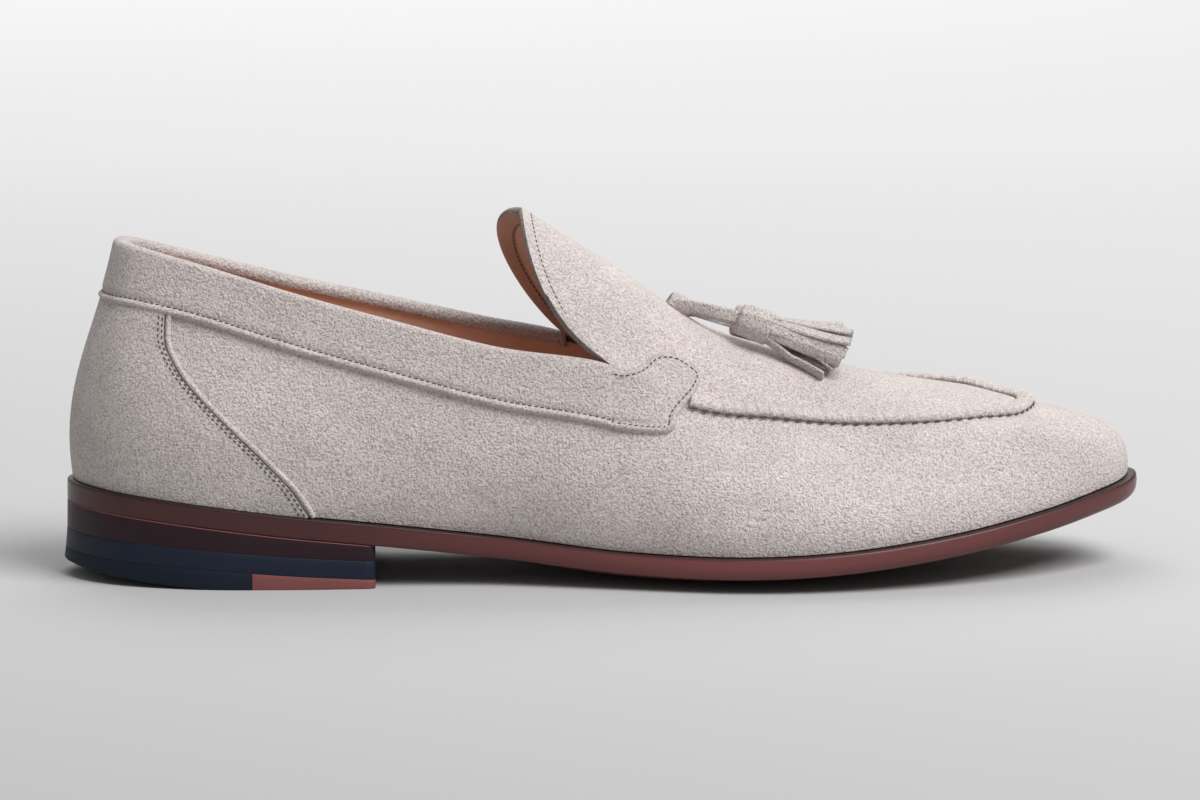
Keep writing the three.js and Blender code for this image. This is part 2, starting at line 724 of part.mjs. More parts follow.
function tabGeometry(side) {
  const start = throat - 1;
  const end = throat + 2;
  const places = placesBetween(start, end, perStation);
  const column = (station, height) => {
    const place = side < 0 ? station : loopLength - station;
    const low = shareBelowRim(place, 1.4 * bandWidth);
    const wall = [0, 0.3, 0.6, 0.85].map((row) => {
      const top = station < throat ? topShare(place) : 1;
      return overWall(place, THREE.MathUtils.lerp(low, top, row), height);
    });
    const rim = station < throat ? topShare(place) : 1;
    const middle = overWall(place, rim, height);
    const arch = [0.1, 0.25, 0.45].map((share) => (
      station < throat ? middle.clone() : overApron(place, share, height)
    ));
    return [...wall, middle, ...arch];
  };
  const outer = places.map((station) => column(station, gap + bandThickness));
  const inner = places.map((station) => column(station, gap));
  const skin = side < 0 ? thickSkin(outer, inner) : thickSkin(outer.reverse(), inner.reverse());
  const corner = rimPoint(side < 0 ? throat : loopLength - throat);
  const outline = new THREE.Shape(tabOutline.map(({ forward, up }) => (
    new THREE.Vector2(corner.x + forward * bandWidth, corner.z + up * bandWidth)
  )));
  const depth = 0.5 * ballWidth;
  const prism = new THREE.ExtrudeGeometry(outline, { depth, bevelEnabled: false });
  prism.rotateX(Math.PI / 2);
  prism.translate(0, side < 0 ? -0.08 * ballWidth : 0.08 * ballWidth + depth, 0);
  return toSolid(skin).intersect(toSolid(prism));
}

function bandGeometry() {
  const ring = toSolid(bandRing());
  return fromSolid(ring.add(tabGeometry(-1)).add(tabGeometry(1)));
}

// Heel counter: an overlay round the heel under the band, with a rolled front edge.
// height: share of the wall there. front: station where the counter ends at that height.
const counterEdge = [
  { height: 0.005, front: 4.20 },
  { height: 0.12, front: 4.02 },
  { height: 0.26, front: 3.68 },
  { height: 0.40, front: 3.26 },
  { height: 0.54, front: 2.82 },
  { height: 0.66, front: 2.55 },
  { height: 0.76, front: 2.50 },
];

function counterGeometry() {
  const columns = 28;
  const below = (place) => shareBelowRim(place, bandWidth + gap + 0.2);
  const grid = (height) => Array.from({ length: columns + 1 }, (_, column) => (
    counterEdge.map((row) => {
      const place = ((2 * column) / columns - 1) * row.front;
      return overWall(place, Math.min(row.height, below(place)), height);
    })
  ));
  return thickSkin(grid(counterLift + counterThickness), grid(counterLift));
}

const pipingCorners = 6;

function pipingGeometry(side) {
  const steps = placesBetween(0, counterEdge.length - 1, 2);
  const sections = steps.map((step) => {
    const index = Math.min(Math.floor(step), counterEdge.length - 2);
    const pick = (name) => THREE.MathUtils.lerp(
      counterEdge[index][name],
      counterEdge[index + 1][name],
      step - index,
    );
    const place = -side * (pick('front') + 0.13);
    const share = pick('height');
    const normal = normalOf(wallPoint, place, share);
    const centre = overWall(place, share, gap + pipingRadius);
    const along = normal.clone().cross(new THREE.Vector3(0, 0, 1)).normalize();
    return Array.from({ length: pipingCorners }, (_, corner) => {
      const angle = (2 * corner * Math.PI) / pipingCorners;
      return centre.clone()
        .addScaledVector(along, -side * pipingRadius * Math.cos(angle))
        .addScaledVector(normal, pipingRadius * Math.sin(angle));
    });
  });
  return loft(side < 0 ? sections.map((section) => section.reverse()) : sections);
}

// Tassels

// A box-like strip through a path, with its width along one direction at each point
function ribbon(path, widthways, width, thickness) {
  const sections = path.map((point, index) => {
    const before = path[Math.max(index - 1, 0)];
    const after = path[Math.min(index + 1, path.length - 1)];
    const run = after.clone().sub(before).normalize();
    const across = widthways.clone().addScaledVector(run, -widthways.dot(run)).normalize();
    const face = run.clone().cross(across);
    return [[-1, -1], [1, -1], [1, 1], [-1, 1]].map(([u, v]) => point.clone()
      .addScaledVector(across, (u * width) / 2)
      .addScaledVector(face, (v * thickness) / 2));
  });
  return loft(sections.reverse());
}

// Where the lace leaves the vamp, and where each tassel hangs from it
const knotStation = throat + 1.66;
const knotRadius = 3.6;
const tasselReach = 15;

function knotCentre() {
  return crestPoint(knotStation).addScaledVector(crestNormal(knotStation), gap + knotRadius);
}

function tasselStart({ side, sink }) {
  const knot = knotCentre();
  const fall = 0.27 * tasselReach + sink * tasselWrapRadius;
  return new THREE.Vector3(knot.x + tasselReach, side * tasselSpread, knot.z - fall);
}

// The far tassel lies lower. sink: share of tasselWrapRadius. tilt: degrees below level.
const tasselPose = {
  near: { side: -1, sink: 0.0, tilt: 20 },
  far: { side: 1, sink: 0.65, tilt: 17 },
};
const tasselSplay = THREE.MathUtils.degToRad(6);
const tasselClearance = 1.2;
const wrapCorners = 10;

function tasselAxis({ side, tilt }) {
  const fall = THREE.MathUtils.degToRad(tilt);
  return new THREE.Vector3(
    Math.cos(fall) * Math.cos(tasselSplay),
    side * Math.cos(fall) * Math.sin(tasselSplay),
    -Math.sin(fall),
  );
}

// Points of the apron's face, to find its height under a strip
const apronSamples = placesBetween(throat + 1, loopLength - throat - 1, 6)
  .flatMap((place) => placesBetween(0, 1, 16).map((share) => apronPoint(place, share)));

function apronHeight(x, y) {
  const distance = (sample) => (sample.x - x) ** 2 + (sample.y - y) ** 2;
  return apronSamples.reduce((best, sample) => (
    distance(sample) < distance(best) ? sample : best
  )).z;
}

// turn: degrees round the tassel from the top, towards its outer side. spread: degrees away from
// its axis. drop: share of stripLength that the tip falls. reach: share of stripLength.
const stripTable = [
  { turn: 0, spread: 13, drop: 0.02, reach: 0.98 },
  { turn: 38, spread: 8, drop: 0.02, reach: 1.02 },
  { turn: 76, spread: 5, drop: 0.05, reach: 0.97 },
  { turn: 112, spread: 9, drop: 0.06, reach: 0.98 },
  { turn: 146, spread: 17, drop: 0.06, reach: 0.90 },
  { turn: 182, spread: 8, drop: 0.03, reach: 0.86 },
  { turn: 220, spread: 4, drop: 0.02, reach: 0.94 },
  { turn: 258, spread: 6, drop: 0.04, reach: 0.99 },
  { turn: 296, spread: 8, drop: 0.02, reach: 1.00 },
  { turn: 330, spread: 10, drop: 0.00, reach: 1.03 },
];

function tasselGeometry(pose) {
  const { side } = pose;
  const start = tasselStart(pose);
  const axis = tasselAxis(pose);
  const outer = new THREE.Vector3(0, side, 0).addScaledVector(axis, -side * axis.y).normalize();
  const top = side < 0 ? outer.clone().cross(axis) : axis.clone().cross(outer);
  const neck = start.clone();
  const mouth = start.clone().addScaledVector(axis, tasselWrapLength);
  const ring = (centre, radius) => Array.from({ length: wrapCorners }, (_, corner) => {
    const angle = (2 * corner * Math.PI) / wrapCorners;
    return centre.clone()
      .addScaledVector(top, radius * Math.cos(angle))
      .addScaledVector(outer, radius * Math.sin(angle));
  });
  const rings = [
    ring(neck, 0.62 * tasselWrapRadius),
    ring(neck.clone().addScaledVector(axis, 0.08 * tasselWrapLength), 0.84 * tasselWrapRadius),
    ring(mouth, tasselWrapRadius),
  ];
  let solid = toSolid(loft(side < 0 ? rings.map((r) => r.reverse()) : rings));
  for (const { turn, spread, drop, reach } of stripTable) {
    const angle = THREE.MathUtils.degToRad(turn);
    const away = THREE.MathUtils.degToRad(spread);
    const radial = top.clone().multiplyScalar(Math.cos(angle))
      .addScaledVector(outer, Math.sin(angle));
    const root = mouth.clone().addScaledVector(axis, -0.25 * tasselWrapLength)
      .addScaledVector(radial, 0.66 * tasselWrapRadius);
    const path = [0, 0.5, 1].map((share) => {
      const length = share * (stripLength * reach + 0.25 * tasselWrapLength);
      const point = root.clone()
        .addScaledVector(axis, length * Math.cos(away))
        .addScaledVector(radial, length * Math.sin(away));
      point.z -= drop * stripLength * share * share;
      const floor = apronHeight(point.x, point.y) + tasselClearance + stripWidth / 2;
      point.z = Math.max(point.z, floor);
      return point;
    });
    const widthways = axis.clone().cross(radial);
    solid = solid.add(toSolid(ribbon(path, widthways, stripWidth, stripThickness)));
  }
  return fromSolid(solid);
}

function laceGeometry() {
  const knot = knotCentre();
  const ball = new THREE.SphereGeometry(1, 12, 8);
  ball.scale(knotRadius * 1.1, knotRadius * 1.35, knotRadius);
  ball.translate(knot.x, knot.y, knot.z);
  let solid = toSolid(ball);
  for (const pose of [tasselPose.near, tasselPose.far]) {
    const { side } = pose;
    const end = tasselStart(pose).addScaledVector(tasselAxis(pose), -laceThickness);
    const start = knot.clone();
    start.y = side * 0.8 * knotRadius;
    const path = [0, 0.35, 0.7, 1].map((share) => {
      const point = start.clone().lerp(end, share);
      point.z += 0.8 * Math.sin(Math.PI * share);
      return point;
    });
    const upright = new THREE.Vector3(0, 0, 1);
    solid = solid.add(toSolid(ribbon(path, upright, laceWidth, laceThickness)));
  }
  return fromSolid(solid);
}

const pieces = [];
function addPiece(name, geometry, color, roughness) {
  pieces.push({ name, geometry, color, roughness });
}

addPiece('upper', upperGeometry(), 0xcdbfb8, 0.95);
addPiece('outsole', outsoleGeometry(), 0x5a2d28, 0.4);
addPiece('insole', insoleGeometry(), 0xa87358, 0.7);
addPiece('heel_lift', heelLayer(liftTop, liftBottom, soleEdge), 0x3a2424, 0.45);
addPiece('heel_block', heelLayer(blockTop, blockBottom, heelFlare), 0x1e242e, 0.5);
const insertFrom = heelLength - leatherInsertLength;
addPiece('heel_tip_rubber', heelLayer(tipTop, tipBottom, heelFlare + tipFlare, -Infinity, insertFrom - gap), 0x161a20, 0.7);
addPiece('heel_tip_leather', heelLayer(tipTop, tipBottom, heelFlare + tipFlare, insertFrom), 0x6a3c36, 0.55);
addPiece('apron_seam', ridgeGeometry(), 0xcfc1ba, 0.95);
addPiece('collar_band', bandGeometry(), 0xcabbb3, 0.95);
addPiece('heel_counter', counterGeometry(), 0xb9aca6, 0.95);
addPiece('counter_piping_lateral', pipingGeometry(-1), 0xd2c6c0, 0.95);
addPiece('counter_piping_medial', pipingGeometry(1), 0xd2c6c0, 0.95);
addPiece('lace_bar', laceGeometry(), 0xbfb1a9, 0.95);
addPiece('tassel_near', tasselGeometry(tasselPose.near), 0xbaaba3, 0.95);
addPiece('tassel_far', tasselGeometry(tasselPose.far), 0xbaaba3, 0.95);

const group = new THREE.Group();
for (const { name, geometry, color, roughness } of pieces) {
  const material = new THREE.MeshStandardMaterial({ color, roughness, metalness: 0 });
  const mesh = new THREE.Mesh(geometry, material);
  mesh.name = name;
  group.add(mesh);
}
const restX = insertFrom + leatherInsertLength / 2;
group.position.x = -restX;

export default group;
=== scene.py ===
"""Tassel loafer: suede upper, collar band, counter, apron seam, tassels, leather sole and stage."""

import bpy
import numpy as np
from mathutils import Matrix


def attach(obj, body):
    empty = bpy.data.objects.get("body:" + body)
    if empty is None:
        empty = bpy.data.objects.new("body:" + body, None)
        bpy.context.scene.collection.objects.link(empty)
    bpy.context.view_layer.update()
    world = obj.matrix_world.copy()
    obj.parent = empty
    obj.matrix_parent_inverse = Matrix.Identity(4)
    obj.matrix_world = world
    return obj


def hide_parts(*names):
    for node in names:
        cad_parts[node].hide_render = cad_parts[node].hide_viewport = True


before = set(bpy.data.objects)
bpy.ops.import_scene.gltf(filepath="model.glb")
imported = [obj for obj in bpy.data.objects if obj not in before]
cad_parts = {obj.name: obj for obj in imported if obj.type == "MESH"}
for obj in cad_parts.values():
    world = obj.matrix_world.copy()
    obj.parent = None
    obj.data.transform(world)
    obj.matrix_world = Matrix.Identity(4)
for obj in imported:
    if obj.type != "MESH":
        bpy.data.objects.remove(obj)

bl_info = {
    "name": "Tassel loafer",
    "version": (1, 0, 0),
    "blender": (4, 5, 0),
    "location": "3D View > Sidebar > Loafer",
    "description": "Makes a suede tassel loafer from surfaces on its last, and a plain stage",
    "category": "Object",
}

# Shape of the last, in millimetres, as in the part's source. The heel's rest is at x = REST.
LAST_LENGTH = 300.0
BALL_WIDTH = 100.0
HEEL_RISE = 16.8
TOE_SPRING = 15.3
BACK_HEIGHT = 94.2
VAMP_HEIGHT = 45.0
TONGUE_HEIGHT = 102.0
WALL = 2.0
FEATHER_INSET = 0.9
BAND_STAND = 1.5
SOLE_THICKNESS = 6.0
SOLE_EDGE = 1.7
TREAD_CROWN = 3.7
CROWN_FULLNESS = 1.4
GAP = 0.3
HEEL_LENGTH = 84.0
INSERT_LENGTH = 34.0
REST = HEEL_LENGTH - INSERT_LENGTH / 2
BALL_TOP = TREAD_CROWN + SOLE_THICKNESS + 2 * GAP
THROAT = 7
TOE = 14
LOOP = 2 * TOE

# along, lateral, medial, heel, toe: shares of the last's length, width, heel rise and toe spring
FOOT = np.array([
    (0.000, 0.002, -0.002, 1.00, 0.00), (0.013, 0.122, 0.118, 0.98, 0.00),
    (0.050, 0.233, 0.228, 0.92, 0.00), (0.117, 0.304, 0.300, 0.79, 0.00),
    (0.200, 0.321, 0.310, 0.61, 0.00), (0.290, 0.316, 0.290, 0.44, 0.00),
    (0.400, 0.323, 0.272, 0.22, 0.00), (0.510, 0.405, 0.335, 0.03, 0.00),
    (0.617, 0.488, 0.455, 0.00, 0.00), (0.717, 0.482, 0.512, 0.00, 0.09),
    (0.817, 0.404, 0.468, 0.00, 0.31), (0.900, 0.285, 0.370, 0.00, 0.58),
    (0.960, 0.155, 0.270, 0.00, 0.82), (0.990, 0.050, 0.175, 0.00, 0.94),
    (1.000, -0.067, 0.067, 0.00, 1.00),
])

# along, lateral, medial, back, vamp, medial back, medial lift: the topline, then the apron seam
RIM = np.array([
    (0.040, 0.000, 0.000, 1.000, 0.000, 0.000, 0.00),
    (0.047, 0.086, 0.084, 0.996, 0.000, 0.000, 0.00),
    (0.072, 0.148, 0.144, 0.979, 0.000, 0.000, -0.01),
    (0.127, 0.204, 0.200, 0.934, 0.000, 0.000, -0.02),
    (0.207, 0.250, 0.245, 0.860, 0.000, 0.000, -0.01),
    (0.293, 0.282, 0.278, 0.787, 0.000, 0.000, 0.01),
    (0.393, 0.309, 0.303, 0.707, 0.000, 0.007, 0.03),
    (0.497, 0.327, 0.320, 0.320, 0.704, 0.030, 0.02),
    (0.573, 0.316, 0.312, 0.000, 1.122, 0.015, 0.04),
    (0.650, 0.296, 0.300, 0.000, 1.044, 0.005, 0.06),
    (0.717, 0.278, 0.290, 0.000, 0.998, 0.000, 0.07),
    (0.783, 0.256, 0.270, 0.000, 0.989, 0.000, 0.09),
    (0.842, 0.210, 0.222, 0.000, 1.000, 0.000, 0.07),
    (0.880, 0.132, 0.138, 0.000, 0.996, 0.000, 0.03),
    (0.898, 0.000, 0.000, 0.000, 1.025, 0.000, 0.00),
])

# swell, rise, lean, drop: the two handles of the wall's curve
WALL_HANDLES = np.array([
    (0.040, 0.39, 0.055, 0.40), (0.040, 0.39, 0.055, 0.40), (0.045, 0.37, 0.055, 0.40),
    (0.050, 0.36, 0.050, 0.40), (0.055, 0.36, 0.050, 0.40), (0.060, 0.35, 0.050, 0.40),
    (0.070, 0.33, 0.050, 0.40), (0.060, 0.33, 0.045, 0.38), (0.045, 0.40, 0.060, 0.30),
    (0.040, 0.42, 0.075, 0.25), (0.035, 0.44, 0.090, 0.24), (0.030, 0.48, 0.120, 0.18),
    (0.022, 0.60, 0.145, 0.16), (0.015, 0.73, 0.147, 0.19), (0.015, 0.73, 0.155, 0.19),
])

# along, tongue, vamp, back, inward, up, sweep, reach: the crest line and the apron's arch
APRON = np.array([
    (0.420, 1.0, 0.000, 1.00, 0.12, 0.31, 0.047, 0.47),
    (0.507, 0.6, 0.537, 0.54, 0.22, 0.44, 0.020, 0.50),
    (0.593, 0.3, 0.838, 0.40, 0.30, 0.50, 0.006, 0.50),
    (0.677, 0.1, 1.113, 0.33, 0.30, 0.50, 0.000, 0.48),
    (0.760, 0.0, 1.200, 0.30, 0.33, 0.48, 0.000, 0.45),
    (0.832, 0.0, 1.118, 0.30, 0.35, 0.45, 0.000, 0.45),
    (0.877, 0.0, 1.055, 0.30, 0.35, 0.40, 0.000, 0.50),
    (0.898, 0.0, 1.025, 0.00, 0.00, 0.00, 0.000, 0.00),
])

# How far the collar band's folded lower edge lies below the topline, at each station to the throat
BAND_DROP = np.array([17.0, 16.8, 16.1, 15.6, 15.9, 16.1, 16.4, 17.4] + [17.4] * 7)

# Outline of the tab at each end of the band, from the throat's corner: forward, up
TAB = np.array([
    (-22.0, 20.0), (-2.3, 1.6), (-0.9, 0.0), (0.5, -1.4), (3.9, -2.1), (8.8, -0.9), (12.1, 1.5),
    (15.2, 2.2), (18.5, 1.7), (21.5, 0.2), (24.3, -2.1), (25.1, -3.5), (24.8, -5.5),
    (23.5, -8.0), (20.7, -11.4), (18.2, -14.3), (17.8, -16.2), (17.0, -17.7), (15.4, -18.5),
    (13.1, -18.7), (8.9, -18.5), (5.1, -18.1), (0.0, -17.4), (-7.6, -16.1), (-22.0, -13.4),
])

# height, front: where the heel counter's front edge runs on the wall
COUNTER = np.array([
    (0.000, 4.24), (0.12, 4.04), (0.26, 3.66), (0.40, 3.22), (0.54, 2.76), (0.66, 2.48),
    (0.76, 2.44), (0.86, 2.48),
])


def both_sides(lateral, medial):
    """Values at the 28 whole places of the loop: up the lateral side, back down the medial one."""
    return np.concatenate([lateral, medial[TOE - 1:0:-1]])


def point_loop(along, side, height):
    return np.stack([along * LAST_LENGTH, side * BALL_WIDTH, height], axis=-1)


foot_height = BALL_TOP + FOOT[:, 3] * HEEL_RISE + FOOT[:, 4] * TOE_SPRING
FOOT_LOOP = both_sides(
    point_loop(FOOT[:, 0], -FOOT[:, 1], foot_height),
    point_loop(FOOT[:, 0], FOOT[:, 2], foot_height),
)
rim_height = RIM[:, 3] * BACK_HEIGHT + RIM[:, 4] * VAMP_HEIGHT
RIM_LOOP = both_sides(
    point_loop(RIM[:, 0], -RIM[:, 1], rim_height),
    point_loop(RIM[:, 0] - RIM[:, 5], RIM[:, 2], rim_height + RIM[:, 6] * VAMP_HEIGHT),
)
WALL_LOOP = both_sides(WALL_HANDLES, WALL_HANDLES)
DROP_LOOP = both_sides(BAND_DROP, BAND_DROP)
APRON_ROWS = np.concatenate([
    np.repeat([2 * APRON[0] - APRON[1]], THROAT, axis=0),
    APRON,
    APRON[-2:-4:-1],
])


def spline(values, index, share):
    """Catmull-Rom: a cubic from values[index] to the next, with half their neighbours' rise."""
    count = len(values)
    before, first, second, after = (values[(index + step) % count] for step in (-1, 0, 1, 2))
    slope_in = (second - before) / 2
    slope_out = (after - first) / 2
    share = share.reshape(share.shape + (1,) * (first.ndim - share.ndim))
    bend = 2 * (first - second) + slope_in + slope_out
    lift = 3 * (second - first) - 2 * slope_in - slope_out
    return ((bend * share + lift) * share + slope_in) * share + first


def along_loop(values, place):
    """The closed Catmull-Rom curve through the values, at a place of the loop."""
    place = np.asarray(place, float)
    index = np.floor(place).astype(int)
    return spline(values, index, place - index)


def station_of(place):
    """How many stations a place lies from the heel's back, on either side."""
    wrapped = np.mod(place, LOOP)
    return np.where(wrapped > TOE, LOOP - wrapped, wrapped)


def along_apron(place):
    """A row of the apron's table, between its stations."""
    station = station_of(np.asarray(place, float))
    index = np.minimum(np.floor(station).astype(int), TOE - 1)
    return spline(APRON_ROWS, index, station - index)


def foot_line(place):
    return along_loop(FOOT_LOOP, place)


def rim_line(place):
    return along_loop(RIM_LOOP, place)


def unit(vector):
    return vector / np.maximum(np.linalg.norm(vector, axis=-1, keepdims=True), 1e-9)


def outward(curve, place):
    """Level unit vector that points out of a loop."""
    run = curve(place + 0.02) - curve(place - 0.02)
    return unit(np.stack([run[..., 1], -run[..., 0], np.zeros(run.shape[:-1])], axis=-1))


def rim_point(place):
    """The wall's rim: the topline, drawn in behind the throat by what the band stands proud."""
    covered = np.clip(THROAT + 1 - station_of(place), 0, 1)[..., None]
    return rim_line(place) - outward(rim_line, place) * BAND_STAND * covered


def bezier(points, share):
    """Cubic Bezier curve through four points."""
    share = share[..., None]
    rest = 1 - share
    weights = (rest ** 3, 3 * rest ** 2 * share, 3 * rest * share ** 2, share ** 3)
    return sum(weight * point for weight, point in zip(weights, points))


UP = np.array([0.0, 0.0, 1.0])


def wall_point(place, share):
    """The upper's outer face: a cubic from the sole's edge (share 0) to the rim (share 1)."""
    place, share = np.broadcast_arrays(np.asarray(place, float), np.asarray(share, float))
    out = outward(foot_line, place)
    foot = foot_line(place) - out * FEATHER_INSET
    rim = rim_point(place)
    height = (rim[..., 2] - foot[..., 2])[..., None]
    swell, rise, lean, drop = np.moveaxis(along_loop(WALL_LOOP, place), -1, 0)[..., None]
    low = foot + out * swell * BALL_WIDTH + UP * rise * height
    high = rim + outward(rim_point, place) * lean * BALL_WIDTH - UP * drop * height
    return bezier((foot, low, high, rim), share)


def crest_point(place):
    """The line over the middle of the tongue and apron."""
    row = along_apron(place)
    height = row[..., 1] * TONGUE_HEIGHT + row[..., 2] * VAMP_HEIGHT
    return np.stack([row[..., 0] * LAST_LENGTH, 0 * height, height], axis=-1)


def apron_point(place, share):
    """The apron and tongue: a cubic from the rim (share 0) up and over to the crest (share 1)."""
    place, share = np.broadcast_arrays(np.asarray(place, float), np.asarray(share, float))
    rim = rim_point(place)
    crest = crest_point(place)
    back, inward, up, sweep, reach = np.moveaxis(along_apron(place)[..., 3:], -1, 0)
    medial = (rim[..., 1] > 0) * sweep * LAST_LENGTH
    low = np.stack([
        rim[..., 0] + (crest[..., 0] - rim[..., 0]) * back,
        rim[..., 1] * (1 - inward),
        rim[..., 2] + (crest[..., 2] - rim[..., 2]) * up,
    ], axis=-1)
    high = np.stack([
        crest[..., 0] - medial, rim[..., 1] * reach, crest[..., 2],
    ], axis=-1)
    return bezier((rim, low, high, crest), share)


def normal_of(patch, place, share):
    """Outward unit normal: the cross product of the patch's two slopes."""
    place, share = np.broadcast_arrays(np.asarray(place, float), np.asarray(share, float))
    run = patch(place + 0.01, share) - patch(place - 0.01, share)
    rise = patch(place, np.minimum(share + 0.01, 1)) - patch(place, np.maximum(share - 0.01, 0))
    return unit(np.cross(run, rise))


def over_wall(place, share, height):
    """A point that stands off the wall's face by a height."""
    height = np.asarray(height, float)[..., None]
    return wall_point(place, share) + normal_of(wall_point, place, share) * height


def share_below_rim(place, drop):
    """Share of the wall's curve that lies a drop below its rim, found by halving."""
    place, drop = np.broadcast_arrays(np.asarray(place, float), np.asarray(drop, float))
    target = rim_point(place)[..., 2] - drop
    low = np.zeros(place.shape)
    high = np.ones(place.shape)
    for _ in range(20):
        middle = (low + high) / 2
        below = wall_point(place, middle)[..., 2] < target
        low = np.where(below, middle, low)
        high = np.where(below, high, middle)
    return (low + high) / 2


def folded_edge(inside, height, reach=1.0, sink=0.5):
    """Height of a folded edge: a quarter ellipse up from under the wall, flat further inside."""
    rise = 1 - np.clip((inside + 0.2) / reach, 0, 1)
    return -sink + (height + sink) * np.sqrt(1 - rise ** 2)


# A folded band's edge: distance inside its outline, height off the wall
BEAD = np.array([
    (-0.6, -0.6), (-0.25, -0.3), (0.0, 0.65), (0.2, 1.2), (0.5, 1.62), (0.85, 1.78), (1.2, 1.74),
    (1.55, 1.5), (1.85, 1.1), (2.05, 0.92), (2.3, 0.98), (2.8, 1.2), (3.6, 1.38), (5.0, 1.42),
])


def beaded_edge(inside, stand):
    """Height of a folded edge with a rounded bead outside its sunken row of stitches."""
    return np.interp(inside, BEAD[:, 0], BEAD[:, 1]) * stand / BEAD[-1, 1]


def grid_faces(columns, rows, wrap_columns=False, wrap_rows=False):
    """Quads of a grid of columns by rows, counterclockwise where columns run right, rows up."""
    column = np.arange(columns if wrap_columns else columns - 1)
    row = np.arange(rows if wrap_rows else rows - 1)
    here, up = np.meshgrid(column, row, indexing="ij")
    across = (here + 1) % columns
    above = (up + 1) % rows
    quads = [here * rows + up, across * rows + up, across * rows + above, here * rows + above]
    return np.stack(quads, axis=-1).reshape(-1, 4)


def add_piece(name, points, faces, material, replaces=(), uv=None, merge=False):
    """A piece of the shoe: points in millimetres on the last's axes, put into the frame."""
    mesh = bpy.data.meshes.new(name)
    placed = (points.reshape(-1, 3) - (REST, 0, 0)) / 1000
    mesh.from_pydata(placed.tolist(), [], faces.tolist())
    if uv is not None:
        layer = mesh.uv_layers.new(name="UVMap")
        corners = np.zeros(len(mesh.loops), dtype=np.int32)
        mesh.loops.foreach_get("vertex_index", corners)
        layer.data.foreach_set("uv", uv.reshape(-1, 2)[corners].astype(np.float32).ravel())
    mesh.validate()
    if merge:
        merge_doubles(mesh)
    mesh.polygons.foreach_set("use_smooth", np.ones(len(mesh.polygons), dtype=bool))
    mesh.materials.append(material)
    piece = bpy.data.objects.new(name, mesh)
    bpy.context.scene.collection.objects.link(piece)
    if replaces:
        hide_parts(*replaces)
    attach(piece, "root")
    return piece


def merge_doubles(mesh):
    import bmesh
    shape = bmesh.new()
    shape.from_mesh(mesh)
    bmesh.ops.remove_doubles(shape, verts=shape.verts, dist=2e-6)
    bmesh.ops.dissolve_degenerate(shape, edges=shape.edges, dist=1e-7)
    shape.to_mesh(mesh)
    shape.free()


def arc_lengths(points):
    steps = np.linalg.norm(np.diff(points, axis=0), axis=-1)
    return np.concatenate([[0], np.cumsum(steps)])


def resample(points, lengths, at):
    return np.stack([np.interp(at, lengths, points[:, axis]) for axis in range(3)], axis=-1)


def capsule():
    """A unit capsule along x with 6 sides: rings whose radius follows a rounded end."""
    stops = np.array([-0.5, -0.44, -0.28, 0.28, 0.44, 0.5])
    radii = np.array([0.15, 0.72, 1.0, 1.0, 0.72, 0.15])
    angle = np.arange(6) * np.pi / 3
    ring = np.stack([np.cos(angle), np.sin(angle)], axis=-1)
    points = np.concatenate([
        np.repeat(stops[:, None, None], 6, axis=1),
        radii[:, None, None] * ring[None],
    ], axis=-1)
    faces = grid_faces(6, 6, wrap_rows=True)
    return points.reshape(-1, 3), faces


def stitch_row(path, normals, pitch, length, radius, slant=0.0, sink=0.0, start=0.0):
    """Points and faces of thread capsules laid at a pitch along a path on a surface.

    slant turns each stitch in the surface, in radians. sink lowers it into the surface.
    """
    lengths = arc_lengths(path)
    at = np.arange(pitch / 2 + start, lengths[-1] - pitch / 4, pitch)
    centre = resample(path, lengths, at)
    normal = unit(resample(normals, lengths, at))
    run = unit(resample(path, lengths, at + 0.05) - resample(path, lengths, at - 0.05))
    side = unit(np.cross(normal, run))
    along = run * np.cos(slant) + side * np.sin(slant)
    side = unit(np.cross(normal, along))
    shape, faces = capsule()
    points = (
        centre[:, None] - sink * normal[:, None]
        + shape[None, :, :1] * length * along[:, None]
        + shape[None, :, 1:2] * radius * side[:, None]
        + shape[None, :, 2:] * radius * normal[:, None]
    )
    offsets = (np.arange(len(at)) * len(shape))[:, None, None]
    return points.reshape(-1, 3), (faces[None] + offsets).reshape(-1, 4)


def join_parts(parts):
    """Several (points, faces) as one."""
    points = np.concatenate([part[0] for part in parts])
    starts = np.cumsum([0] + [len(part[0]) for part in parts[:-1]])
    return points, np.concatenate([part[1] + start for part, start in zip(parts, starts)])


def sweep(path, across, normal, profile):
    """A closed profile (side, height) carried along a path, and drawn to a point at both ends."""
    profile = np.asarray(profile, float)
    if profile.ndim == 2:
        profile = np.repeat(profile[None], len(path), axis=0)
    rings = (
        path[:, None]
        + profile[..., :1] * across[:, None]
        + profile[..., 1:] * normal[:, None]
    )
    ends = [np.repeat(rings[i].mean(axis=0)[None], rings.shape[1], axis=0) for i in (0, -1)]
    rings = np.concatenate([ends[0][None], rings, ends[1][None]])
    faces = grid_faces(rings.shape[0], rings.shape[1], wrap_rows=True)
    return rings.reshape(-1, 3), faces


# Materials


